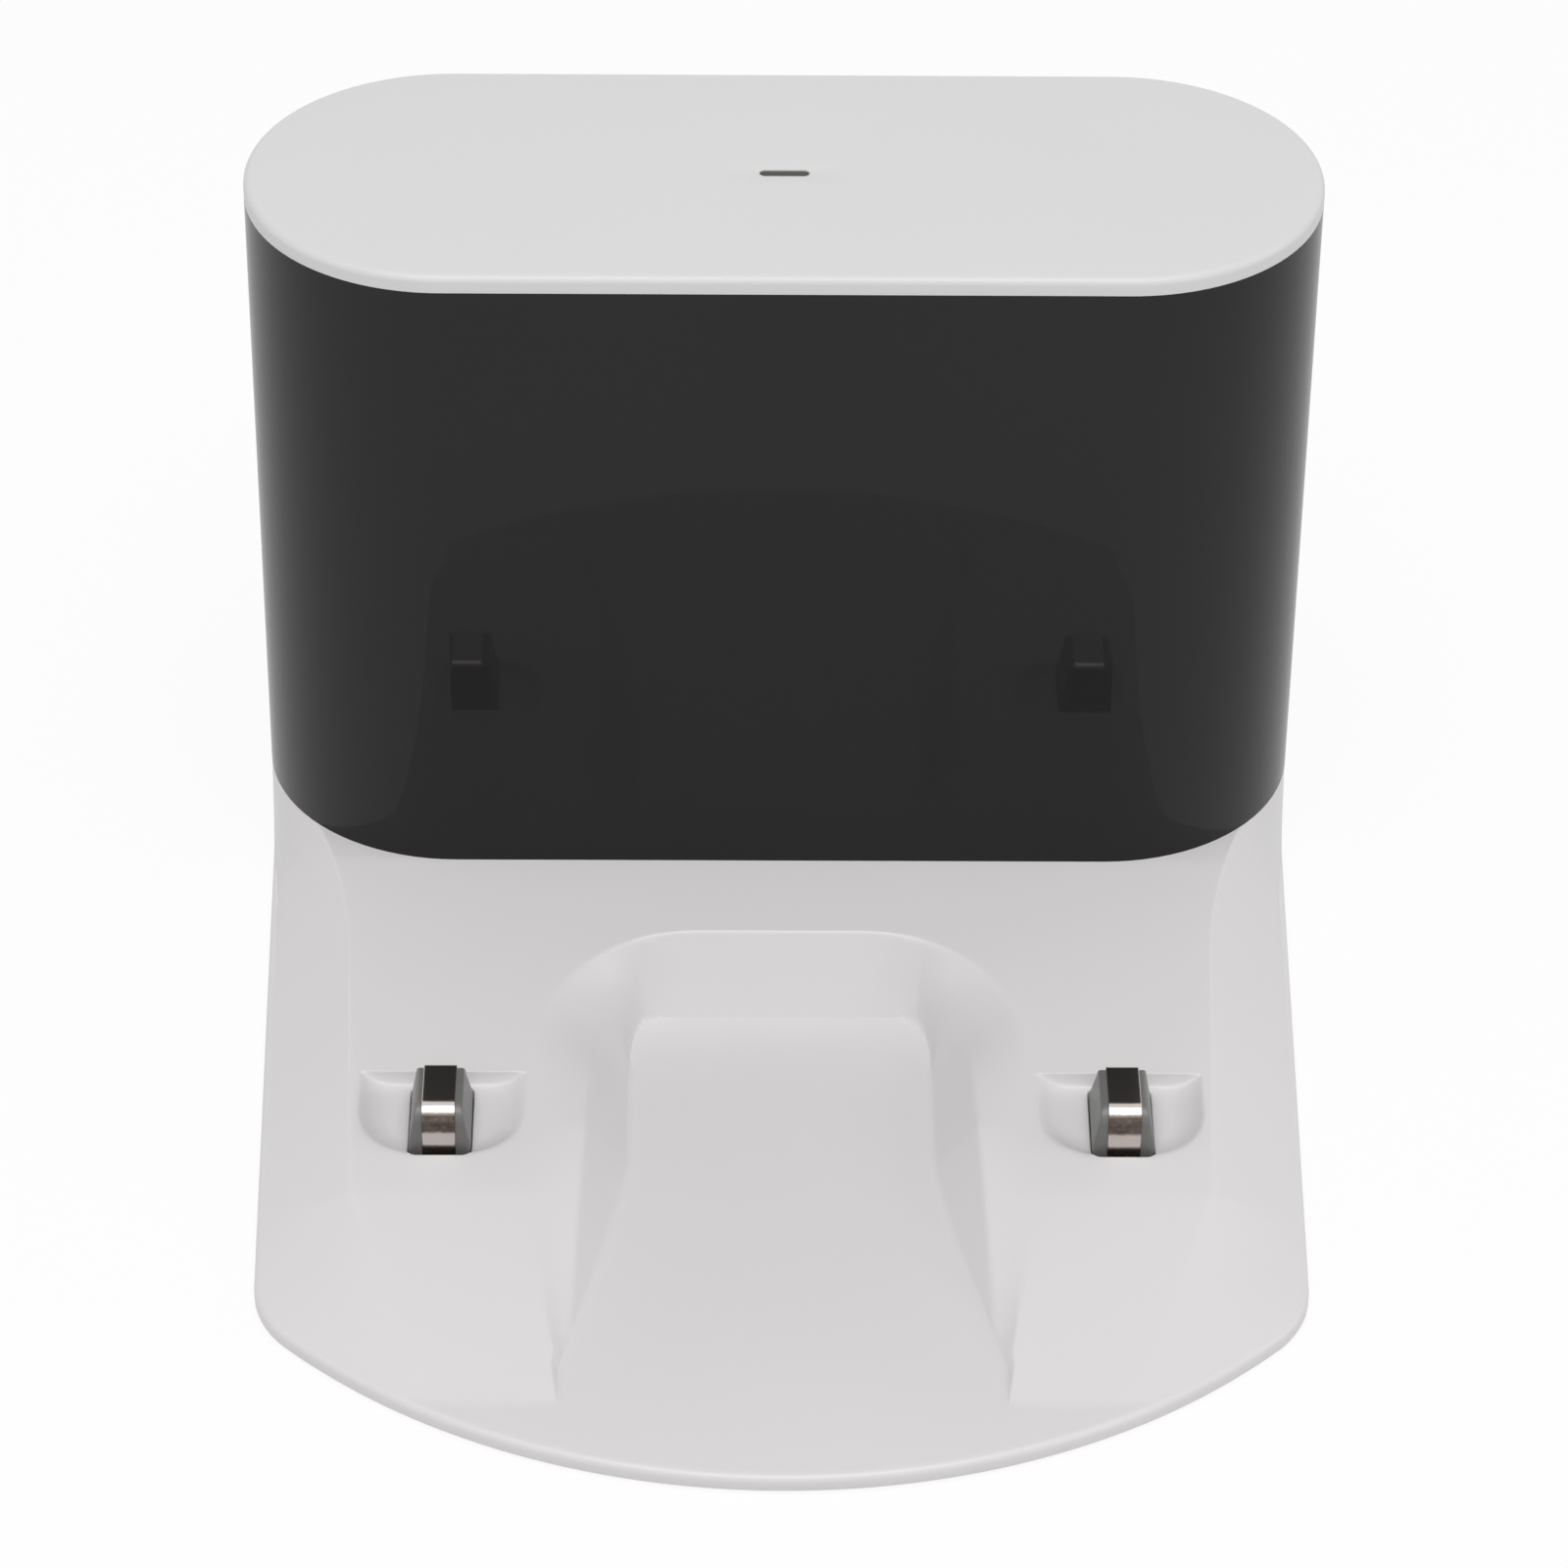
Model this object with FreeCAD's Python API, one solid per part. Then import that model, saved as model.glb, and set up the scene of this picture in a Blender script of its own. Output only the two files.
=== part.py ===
import FreeCAD, Part
import math
import os
from FreeCAD import Vector

os.makedirs("parts", exist_ok=True)

# Driving sizes in millimetres. X runs across, Y to the back, Z up.
overall_width = 130.0
overall_depth = 151.0
overall_height = 98.0
head_depth = 49.0
foot_proud = 0.4
deck_height = 13.2
cap_band = 2.2
cap_edge_radius = 0.9
head_wall = 2.0
shell_wall = 2.0

# Base: thin front lip, plateau and ramps.
lip_thickness = 2.0
lip_edge_radius = 0.8
lip_ease = 20.0
front_radius = 81.0
corner_radius = 14.0
side_taper = 2.0
ramp_setback = 12.5
ramp_length = 31.5
ramp_top_rise = 5.1
crease_inset_back = 10.5
crease_inset_front = 8.8
ramp_foot_inset = 2.0
crease_lead = 2.0

# Wheel trough in the middle of the base.
trough_setback = 17.8
trough_half_back = 18.0
trough_half_front = 26.6
trough_corner = 7.0
trough_hollow = 3.0
trough_side_run = 1.4
trough_back_run = 0.72

# Sprung contacts and the shallow dishes round them.
contact_spacing = 82.0
contact_setback = 11.3
contact_length = 10.6
contact_rise = 5.85
plate_width = 4.06
plate_thickness = 0.4
plate_front_bend = 2.6
plate_back_bend = 1.4
ridge_width = 5.6
shoulder_width = 7.4
shoulder_drop = 1.4
flange_overhang = 1.8
flange_thickness = 1.0
slot_gap = 0.3
dish_half_width = 11.5
dish_length = 13.5
dish_lead = 2.6
dish_skin = 1.5
dish_bank = 1.2
pad_margin = 3.0
ridge_edge = 0.5
shoulder_edge = 0.9
plate_foot_gap = 0.3
terminal_width = 6.0
terminal_thickness = 0.4
spring_gap = 0.25
spring_roof = 1.9
spring_wire = 0.5
spring_radius = 1.75
spring_turns = 6

# Underside: cover, feet and cover screws.
cover_thickness = 2.0
cover_margin = 4.5
cover_gap = 0.15
leg_front_cut = 8.5
foot_radius = 5.0
foot_recess = 0.6
screw_head_radius = 2.5
screw_head_height = 1.0
screw_radius = 1.0
pilot_gap = 0.05
boss_radius = 3.0
cover_screw_depth = 4.0
cover_ledge = 1.5
leg_screw_reach = 19.0
leg_screw_offset = 7.0
rear_screw_inset = 10.0
rear_screw_reach = 11.0
rear_foot_offset = 6.0
mid_foot_offset = 1.0
nose_foot_setback = 14.0

# Rear shell with the cord bay, its exit and the mains inlet.
window_wrap = 10.0
skirt_height = 4.0
skirt_wall = 1.6
skirt_gap = 0.2
shell_boss_offset = 8.0
shell_boss_reach = 9.0
shell_boss_height = 10.0
shell_web = 1.6
head_screw_length = 8.0
seam_gap = 0.15
bay_width = 74.0
bay_height = 42.0
bay_depth = 20.0
bay_floor_rise = 6.8
cord_exit_width = 9.0
cord_exit_depth = 6.0
inlet_offset = 22.0
inlet_width = 21.0
inlet_height = 12.0
inlet_length = 14.0
inlet_recess = 11.0
inlet_gap = 0.2
pin_sink = 1.5
pocket_waist = 0.8
pin_spacing = 8.6
pin_radius = 1.2
pin_pocket_radius = 3.9

# Boards and what they carry.
board_thickness = 1.6
board_standoff = 4.0
board_margin = 3.0
board_overlap = 2.0
board_part_gap = 1.5
part_clearance = 2.0
transformer_width = 22.0
transformer_height = 12.0
winding_width = 16.0
winding_height = 20.0
capacitor_length = 18.0
output_can_radius = 4.0
choke_radius = 6.5
choke_bore = 2.6
choke_depth = 7.0
fuse_length = 18.0
fuse_radius = 2.6
rectifier_width = 12.0
rectifier_height = 8.0
rectifier_depth = 3.0
beacon_width = 84.0
beacon_height = 24.0
beacon_top_gap = 20.0
bracket_thickness = 1.6
bracket_foot_depth = 6.0
emitter_radius = 1.5
emitter_length = 2.3
emitter_count = 5
emitter_margin = 14.0
bracket_margin = 2.0
bracket_foot_reach = 26.0
bracket_foot_thickness = 2.0
bracket_boss_height = 8.0
beacon_screw_inset = 4.0
window_clearance = 0.4
slot_length = 6.0
slot_width = 1.0
guide_gap = 0.05
guide_height = 10.8
guide_sink = 0.25
guide_flange = 1.5
guide_flange_height = 2.0
post_reach = 9.0
indicator_drop = 10.0
indicator_margin = 4.0
indicator_depth = 12.0
indicator_screw_length = 6.0
light_length = 3.2
light_width = 1.6
light_gap = 0.2
lead_radius = 0.7
lead_bend = 5.0
short_bend = 2.0
lead_standoff = 5.0
lead_drop = 6.0
lead_rise = 5.0
tab_reach = 4.0
lead_clear = 0.8
pass_width = 28.0
pass_gap = 1.0

# Places worked out from the sizes above.
back_y = overall_depth / 2
front_y = -overall_depth / 2
head_radius = head_depth / 2
head_y = back_y - head_radius
end_x = overall_width / 2 - head_radius
wall_y = back_y - head_depth
lip_top = foot_proud + lip_thickness
cover_top = foot_proud + cover_thickness
ramp_foot_y = front_y + ramp_setback
ramp_top_y = ramp_foot_y + ramp_length
ramp_top_height = lip_top + ramp_top_rise
cap_bottom = overall_height - cap_band
contact_x = contact_spacing / 2
contact_y = ramp_top_y + contact_setback
contact_front = contact_y - contact_length / 2
contact_back = contact_y + contact_length / 2
leg_front_y = ramp_top_y - leg_front_cut
rear_limit = back_y - cord_exit_depth - shell_wall
bay_floor = deck_height + bay_floor_rise
bay_middle = bay_floor + bay_height / 2
bay_front = back_y - bay_depth
board_back = bay_front - head_wall - board_standoff
board_front = board_back - board_thickness


def box(x0, x1, y0, y1, z0, z1):
    return Part.makeBox(x1 - x0, y1 - y0, z1 - z0, Vector(x0, y0, z0))


def rod(x, y, z0, z1, radius):
    return Part.makeCylinder(radius, z1 - z0, Vector(x, y, z0))


def rod_along_y(x, z, y0, y1, radius):
    return Part.makeCylinder(radius, y1 - y0, Vector(x, y0, z), Vector(0, 1, 0))


def rod_along_x(y, z, x0, x1, radius):
    return Part.makeCylinder(radius, x1 - x0, Vector(x0, y, z), Vector(1, 0, 0))


def arc(center, radius, start, end, z):
    spots = []
    for angle in (start, (start + end) / 2, end):
        turn = math.radians(angle)
        x = center[0] + radius * math.cos(turn)
        y = center[1] + radius * math.sin(turn)
        spots.append(Vector(x, y, z))
    return Part.Arc(*spots).toShape()


def joined(edges):
    return Part.Wire(Part.__sortEdges__(edges))


def prism(wire, height):
    return Part.Face(wire).extrude(Vector(0, 0, height))


def between(value, low, high):
    return low + (high - low) * value


# Plan of the head: two straight sides joined by half circles.
def stadium(inset, z):
    radius = head_radius - inset
    front = Part.makeLine(Vector(-end_x, head_y - radius, z), Vector(end_x, head_y - radius, z))
    back = Part.makeLine(Vector(end_x, head_y + radius, z), Vector(-end_x, head_y + radius, z))
    right = arc((end_x, head_y), radius, -90, 90, z)
    left = arc((-end_x, head_y), radius, 90, 270, z)
    return Part.Wire([front, right, back, left])


# Plan of the base: the head's back half, tapering sides, front corners and a front arc.
taper = math.radians(side_taper)
front_center = front_y + front_radius
side_start = Vector(end_x, head_y, 0)
side_normal = Vector(math.cos(taper), -math.sin(taper), 0)
side_run = Vector(-math.sin(taper), -math.cos(taper), 0)
corner_start = side_start + side_normal * (head_radius - corner_radius) - Vector(0, front_center, 0)
half_b = corner_start.dot(side_run)
rest_c = corner_start.dot(corner_start) - (front_radius - corner_radius) ** 2
corner_run = -half_b + math.sqrt(half_b ** 2 - rest_c)
corner_center = corner_start + side_run * corner_run + Vector(0, front_center, 0)
corner_angle = math.degrees(math.atan2(corner_center.y - front_center, corner_center.x))


def outline(inset, z):
    rear = head_radius - inset
    corner = corner_radius - inset
    lift = Vector(0, 0, z)
    side_top = side_start + side_normal * rear + lift
    side_end = corner_center + side_normal * corner + lift
    mirrored_top = Vector(-side_top.x, side_top.y, z)
    mirrored_end = Vector(-side_end.x, side_end.y, z)
    far = 180 - corner_angle
    right = (corner_center.x, corner_center.y)
    left = (-corner_center.x, corner_center.y)
    edges = [
        arc((0, front_center), front_radius - inset, far - 360, corner_angle, z),
        arc(right, corner, corner_angle, -side_taper, z),
        Part.makeLine(side_end, side_top),
        arc((end_x, head_y), rear, -side_taper, 90, z),
        Part.makeLine(Vector(end_x, head_y + rear, z), Vector(-end_x, head_y + rear, z)),
        arc((-end_x, head_y), rear, 90, 180 + side_taper, z),
        Part.makeLine(mirrored_top, mirrored_end),
        arc(left, corner, 180 + side_taper, far, z),
    ]
    return joined(edges)


def half_width(y):
    side_top = side_start + side_normal * head_radius
    side_end = corner_center + side_normal * corner_radius
    turn = math.radians(corner_angle)
    if y >= side_top.y:
        return end_x + math.sqrt(max(0.0, head_radius ** 2 - (y - head_y) ** 2))
    if y >= side_end.y:
        return side_top.x - (side_top.y - y) * math.tan(taper)
    if y >= corner_center.y + corner_radius * math.sin(turn):
        return corner_center.x + math.sqrt(corner_radius ** 2 - (y - corner_center.y) ** 2)
    return math.sqrt(max(0.0, front_radius ** 2 - (y - front_center) ** 2))


# Raised part of the base as sections along Y: place, half width of the top, height of the top.
def plateau_height(y):
    return between((wall_y - y) / (wall_y - ramp_top_y), deck_height, ramp_top_height)


sections = []
for angle in (0, 12, 24, 36, 45):
    turn = math.radians(angle)
    y = head_y - head_radius * math.sin(turn)
    sections.append((y, end_x + head_radius * math.cos(turn), deck_height))
crease_y = wall_y - crease_lead
crease_back = overall_width / 2 - crease_inset_back
sections.append((crease_y, crease_back, plateau_height(crease_y)))
crease_front = half_width(ramp_top_y) - crease_inset_front
sections.append((ramp_top_y, crease_front, ramp_top_height))
ramp_foot_half = half_width(ramp_foot_y) - ramp_foot_inset
for step in (0.25, 0.5, 0.75, 1.0):
    y = between(step, ramp_top_y, ramp_foot_y)
    half = between(step, crease_front, ramp_foot_half)
    sections.append((y, half, between(step, ramp_top_height, lip_top)))


def section_at(y):
    for first, second in zip(sections, sections[1:]):
        if first[0] >= y >= second[0]:
            step = (first[0] - y) / (first[0] - second[0])
            return between(step, first[1], second[1]), between(step, first[2], second[2])
    return sections[-1][1], sections[-1][2]


def section_wire(y, corners):
    points = [Vector(x, y, z) for x, z in corners]
    return Part.makePolygon(points + points[:1])


def platform():
    wires = []
    for y, half, top in sections:
        ease = min(1.0, max(0.0, (head_y - y) / lip_ease))
        rim = half_width(y) - ease * lip_edge_radius
        corners = [(-rim, foot_proud), (rim, foot_proud), (rim, lip_top)]
        corners += [(half, top), (-half, top), (-rim, lip_top)]
        wires.append(section_wire(y, corners))
    return Part.makeLoft(wires, True, True)


# Trough plan at a given rise above its floor, widened by grow where a wall is kept round it.
def trough_wire(rise, z, grow=0.0):
    side = trough_side_run * rise + grow
    back = wall_y - trough_setback + trough_back_run * rise + grow
    radius = trough_corner + rise + grow
    start = Vector(trough_half_back + side, back, z)
    foot = Vector(trough_half_front + side, ramp_foot_y, z)
    along = (foot - start).normalize()
    across = Vector(-1, 0, 0)
    half_turn = math.acos(along.dot(across)) / 2
    reach = radius / math.tan(half_turn)
    middle = (along + across).normalize()
    center = start + middle * (radius / math.sin(half_turn))
    side_spot = start + along * reach
    back_spot = start + across * reach
    bulge = center - middle * radius
    tip = start + along * ((front_y - 6.0 - start.y) / along.y)

    def mirror(spot):
        return Vector(-spot.x, spot.y, spot.z)

    edges = [
        Part.makeLine(tip, side_spot),
        Part.Arc(side_spot, bulge, back_spot).toShape(),
        Part.makeLine(back_spot, mirror(back_spot)),
        Part.Arc(mirror(back_spot), mirror(bulge), mirror(side_spot)).toShape(),
        Part.makeLine(mirror(side_spot), mirror(tip)),
        Part.makeLine(mirror(tip), tip),
    ]
    return Part.Wire(edges)


trough_rise = deck_height - lip_top + 2.0


# The lowest wires step in, so the wall meets the floor in a hollow curve.
def trough(grow=0.0):
    wires = []
    for rise, step_in in ((0.0, 0.6), (0.12, 0.3), (0.32, 0.1), (0.6, 0.0)):
        height = rise * trough_hollow
        wires.append(trough_wire(height, lip_top + height, grow - step_in * trough_hollow))
    wires.append(trough_wire(trough_rise, lip_top + trough_rise, grow))
    return Part.makeLoft(wires, True, True)


# Contact dish: level floor cut into the sloping plateau, straight at the back, round in front.
dish_back = contact_back + dish_lead
dish_front = dish_back - dish_length
dish_floor = plateau_height(dish_front)
contact_top = dish_floor + contact_rise
contact_roof = dish_floor - dish_skin


def dish_wire(x, grow, z):
    half = dish_half_width + grow
    back = dish_back + grow
    tip = Vector(x, dish_front - grow, z)
    right = Vector(x + half, back, z)
    left = Vector(x - half, back, z)
    return Part.Wire([Part.makeLine(left, right), Part.Arc(right, tip, left).toShape()])


def dish(x):
    low = dish_wire(x, -dish_bank, dish_floor)
    high = dish_wire(x, dish_bank, dish_floor + 2.5 * dish_bank)
    return Part.makeLoft([low, high], True, True)


# Side view of a contact, set in by a given amount, as a solid of the given width.
def contact_body(x, width, inset, bottom):
    front = contact_front + inset
    back = contact_back - inset
    top = contact_top - inset
    front_bend = max(0.3, plate_front_bend - inset)
    back_bend = max(0.3, plate_back_bend - inset)
    diagonal = math.sqrt(0.5)
    low_front = Vector(0, front, bottom)
    high_front = Vector(0, front, top - front_bend)
    top_front = Vector(0, front + front_bend, top)
    top_back = Vector(0, back - back_bend, top)
    high_back = Vector(0, back, top - back_bend)
    low_back = Vector(0, back, bottom)
    front_mid = Vector(0, front + front_bend * (1 - diagonal), top - front_bend * (1 - diagonal))
    back_mid = Vector(0, back - back_bend * (1 - diagonal), top - back_bend * (1 - diagonal))
    edges = [
        Part.makeLine(low_front, high_front),
        Part.Arc(high_front, front_mid, top_front).toShape(),
        Part.makeLine(top_front, top_back),
        Part.Arc(top_back, back_mid, high_back).toShape(),
        Part.makeLine(high_back, low_back),
        Part.makeLine(low_back, low_front),
    ]
    face = Part.Face(Part.Wire(edges))
    face.translate(Vector(x - width / 2, 0, 0))
    return face.extrude(Vector(width, 0, 0))


# Rounds the edges that run round both flat sides of a contact body, apart from its bottom.
def round_sides(body, radius):
    bottom = body.BoundBox.ZMin
    edges = [edge for edge in body.Edges if edge.BoundBox.XLength < 0.01]
    edges = [edge for edge in edges if edge.BoundBox.ZMax > bottom + 0.01]
    return body.makeFillet(radius, edges)


# Wire run through straight points with rounded corners.
def tube(points, radius, bend):
    spots = [Vector(*point) for point in points]
    edges = []
    last = spots[0]
    for before, here, after in zip(spots, spots[1:], spots[2:]):
        come = (here - before).normalize()
        leave = (after - here).normalize()
        half_turn = math.acos(max(-1.0, min(1.0, come.dot(leave)))) / 2
        room = min((here - before).Length, (after - here).Length) * 0.48
        size = min(bend, room / math.tan(half_turn))
        reach = size * math.tan(half_turn)
        inward = (leave - come).normalize()
        center = here + inward * (size / math.cos(half_turn))
        enter = here - come * reach
        edges.append(Part.makeLine(last, enter))
        last = here + leave * reach
        edges.append(Part.Arc(enter, center - inward * size, last).toShape())
    edges.append(Part.makeLine(last, spots[-1]))
    heading = spots[1] - spots[0]
    ring = Part.Wire([Part.makeCircle(radius, spots[0], heading)])
    return Part.Wire(edges).makePipeShell([ring], True, False)


def screw_up(x, y, seat, length):
    head = rod(x, y, seat - screw_head_height, seat, screw_head_radius)
    return head.fuse(rod(x, y, seat, seat + length, screw_radius)).removeSplitter()


def screw_back(x, z, seat, length):
    head = rod_along_y(x, z, seat - screw_head_height, seat, screw_head_radius)
    return head.fuse(rod_along_y(x, z, seat, seat + length, screw_radius)).removeSplitter()


pilot = screw_radius + pilot_gap
sides = (("left", -1), ("right", 1))

# Places of the fasteners, feet and cable pass.
leg_screw_y = contact_back + leg_screw_reach
leg_screw_x = contact_x + leg_screw_offset
rear_screw_x = end_x - rear_screw_inset
rear_screw_y = head_y + rear_screw_reach
cover_screw_places = []
for name, sign in sides:
    cover_screw_places.append((sign * leg_screw_x, leg_screw_y))
    cover_screw_places.append((sign * rear_screw_x, rear_screw_y))
shell_boss_x = end_x + shell_boss_offset
shell_boss_y = head_y + shell_boss_reach
beacon_foot_x = bracket_foot_reach
beacon_front = wall_y + head_wall + window_clearance + emitter_length
bracket_front = beacon_front + board_thickness
bracket_back = bracket_front + bracket_thickness
beacon_foot_y = bracket_back + bracket_foot_depth / 2
head_screw_places = []
for name, sign in sides:
    head_screw_places.append((sign * shell_boss_x, shell_boss_y))
    head_screw_places.append((sign * beacon_foot_x, beacon_foot_y))
foot_places = {
    "rear_left": (-end_x - rear_foot_offset, head_y + rear_foot_offset),
    "rear_right": (end_x + rear_foot_offset, head_y + rear_foot_offset),
    "mid_left": (-contact_x, ramp_top_y - mid_foot_offset),
    "mid_right": (contact_x, ramp_top_y - mid_foot_offset),
}
nose_foot_y = front_y + nose_foot_setback
pass_half_width = pass_width / 2
pass_front = beacon_foot_y + bracket_foot_depth / 2 + pass_gap
pass_back = board_front - pass_gap

parts = {}

# Base shell.
lip = prism(outline(0.0, foot_proud), lip_thickness)
lip_edges = [edge for edge in lip.Edges if edge.BoundBox.ZMin > lip_top - 0.01]
lip_edges = [edge for edge in lip_edges if edge.BoundBox.YMin < head_y - 1.0]
lip = lip.makeFillet(lip_edge_radius, lip_edges)
pedestal = prism(stadium(0.0, foot_proud), deck_height - foot_proud)
solid_base = lip.fuse([platform(), pedestal]).removeSplitter()
solid_base = solid_base.cut(trough())
for name, sign in sides:
    solid_base = solid_base.cut(dish(sign * contact_x))

trough_keep = trough(shell_wall).fuse(prism(trough_wire(0.0, -1.0, shell_wall), lip_top + 1.0))
hollow_wires = []
hollow_places = [head_y]
hollow_places += [y for y, half, top in sections if leg_front_y < y < head_y - 0.1]
hollow_places.append(leg_front_y)
hollow_low = cover_top - 0.2
for y in hollow_places:
    half, top = section_at(y)
    low = half_width(y) - cover_margin - cover_ledge
    high = min(half - 1.2 * shell_wall, low)
    roof = top - shell_wall
    corners = [(-low, hollow_low), (low, hollow_low), (high, roof), (-high, roof)]
    hollow_wires.append(section_wire(y, corners))
hollow = Part.makeLoft(hollow_wires, True, True)
rear_hollow = prism(outline(cover_margin + cover_ledge, hollow_low), deck_height - shell_wall - hollow_low)
rear_room = box(-overall_width, overall_width, head_y, rear_limit, 0.0, deck_height)
hollow = hollow.fuse(rear_hollow.common(rear_room)).cut(trough_keep)

cover_low_y = leg_front_y - cover_ledge
cover_room = box(-overall_width, overall_width, cover_low_y, rear_limit + cover_ledge, -1.0, cover_top)
cover_keep = prism(trough_wire(0.0, -2.0, shell_wall + 1.0), cover_top + 4.0)
cover_pocket = prism(outline(cover_margin, -1.0), cover_top + 1.0).common(cover_room).cut(cover_keep)

base_shell = solid_base.cut(hollow)
added = []
for name, sign in sides:
    middle = sign * contact_x
    reach = shoulder_width / 2 + flange_overhang + pad_margin
    pad_low = contact_front - flange_overhang - pad_margin
    pad_high = contact_back + flange_overhang + pad_margin
    added.append(box(middle - reach, middle + reach, pad_low, pad_high, contact_roof, deck_height))
for x, y in cover_screw_places:
    added.append(rod(x, y, cover_top, deck_height, boss_radius))
base_shell = base_shell.fuse([shape.common(solid_base) for shape in added]).removeSplitter()
cuts = [cover_pocket]
for name, sign in sides:
    middle = sign * contact_x
    slot_half = shoulder_width / 2 + slot_gap
    slot_low = contact_front - slot_gap
    slot_high = contact_back + slot_gap
    cuts.append(box(middle - slot_half, middle + slot_half, slot_low, slot_high, cover_top, deck_height))
    wide = slot_half + flange_overhang
    low = slot_low - flange_overhang
    high = slot_high + flange_overhang
    cuts.append(box(middle - wide, middle + wide, low, high, cover_top - 0.1, contact_roof))
for x, y in cover_screw_places:
    cuts.append(rod(x, y, cover_top - 0.5, cover_top + cover_screw_depth + 0.4, pilot))
for x, y in head_screw_places:
    cuts.append(rod(x, y, deck_height - shell_wall - 1.0, deck_height + 1.0, pilot + 0.1))
cuts.append(box(-pass_half_width, pass_half_width, pass_front, pass_back, cover_top, deck_height + 1.0))
exit_half = cord_exit_width / 2
cuts.append(box(-exit_half, exit_half, back_y - cord_exit_depth, back_y + 1.0, -1.0, deck_height + 1.0))
cuts.append(rod(0.0, nose_foot_y, foot_proud - 1.0, foot_proud + foot_recess, foot_radius))
for shape in cuts:
    base_shell = base_shell.cut(shape)
parts["base_shell"] = base_shell

# Bottom cover with recesses for the feet and the screw heads.
cover_inner = box(-overall_width, overall_width, cover_low_y + cover_gap,
                  rear_limit + cover_ledge - cover_gap, -1.0, cover_top)
bottom_cover = prism(outline(cover_margin + cover_gap, foot_proud), cover_thickness)
cover_keep = prism(trough_wire(0.0, -2.0, shell_wall + 1.0 + cover_gap), cover_top + 4.0)
bottom_cover = bottom_cover.common(cover_inner).cut(cover_keep)
for x, y in cover_screw_places:
    bottom_cover = bottom_cover.cut(rod(x, y, -1.0, cover_top + 1.0, pilot + 0.1))
    head_hole = rod(x, y, -1.0, foot_proud + screw_head_height, screw_head_radius + 0.2)
    bottom_cover = bottom_cover.cut(head_hole)
for x, y in foot_places.values():
    bottom_cover = bottom_cover.cut(rod(x, y, -1.0, foot_proud + foot_recess, foot_radius))
parts["bottom_cover"] = bottom_cover

# Rubber feet.
foot_places["nose"] = (0.0, nose_foot_y)
for name, (x, y) in foot_places.items():
    parts["foot_" + name] = rod(x, y, 0.0, foot_proud + foot_recess, foot_radius - 0.05)

cover_seat = foot_proud + screw_head_height
cover_screw_length = cover_top + cover_screw_depth - cover_seat
screws = [screw_up(x, y, cover_seat, cover_screw_length) for x, y in cover_screw_places]
parts["cover_screws"] = Part.makeCompound(screws)

# Head: black window in front, rear shell behind, cap on top.
head_height = cap_bottom - deck_height
ring = prism(stadium(0.0, deck_height), head_height)
ring = ring.cut(prism(stadium(head_wall, deck_height - 1.0), head_height + 2.0))
split_y = head_y + window_wrap
window_room = box(-overall_width, overall_width, -overall_depth, split_y, 0.0, overall_height)
parts["front_window"] = ring.common(window_room)

rear_room = box(-overall_width, overall_width, split_y + seam_gap, overall_depth, 0.0, overall_height)
rear_shell = ring.common(rear_room)
bay_half = bay_width / 2
bay_top = bay_floor + bay_height
bay_wall = box(-bay_half - head_wall, bay_half + head_wall, bay_front - head_wall, back_y - head_wall / 2,
               bay_floor - head_wall, bay_top + head_wall)
rear_shell = rear_shell.fuse(bay_wall)
for name, sign in sides:
    boss = rod(sign * shell_boss_x, shell_boss_y, deck_height, deck_height + shell_boss_height, boss_radius)
    web_end = sign * shell_web
    web = box(min(0, web_end), max(0, web_end), 0.0, head_radius, 0.0, shell_boss_height)
    web.translate(Vector(sign * shell_boss_x, shell_boss_y, deck_height))
    web = web.common(prism(stadium(head_wall / 2, deck_height), 2 * shell_boss_height))
    rear_shell = rear_shell.fuse([boss, web])
board_low = bay_floor - board_overlap
board_high = bay_top + board_overlap
board_half = bay_half + board_margin
board_screw_places = []
for sign in (-1, 1):
    for z in (board_low + board_margin + pilot, board_high - board_margin - pilot):
        board_screw_places.append((sign * (bay_half - board_margin), z))
for x, z in board_screw_places:
    rear_shell = rear_shell.fuse(rod_along_y(x, z, board_back, bay_front - head_wall / 2, boss_radius))
rear_shell = rear_shell.removeSplitter()
bay = box(-bay_half, bay_half, bay_front, back_y + 1.0, bay_floor, bay_top)
rear_shell = rear_shell.cut(bay)
cord_exit = box(-exit_half, exit_half, back_y - cord_exit_depth, back_y + 1.0,
                deck_height - 1.0, bay_floor + 0.5)
rear_shell = rear_shell.cut(cord_exit)
inlet_hole = box(-inlet_offset - inlet_width / 2 - inlet_gap, -inlet_offset + inlet_width / 2 + inlet_gap,
                 bay_front - head_wall - 1.0, bay_front + 1.0,
                 bay_middle - inlet_height / 2 - inlet_gap, bay_middle + inlet_height / 2 + inlet_gap)
rear_shell = rear_shell.cut(inlet_hole)
for x, z in board_screw_places:
    rear_shell = rear_shell.cut(rod_along_y(x, z, board_back - 1.0, bay_front - head_wall + 0.6, pilot))
for name, sign in sides:
    pilot_top = deck_height + shell_boss_height - 1.0
    pilot_hole = rod(sign * shell_boss_x, shell_boss_y, deck_height - 1.0, pilot_top, pilot)
    rear_shell = rear_shell.cut(pilot_hole)
parts["rear_shell"] = rear_shell

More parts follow.
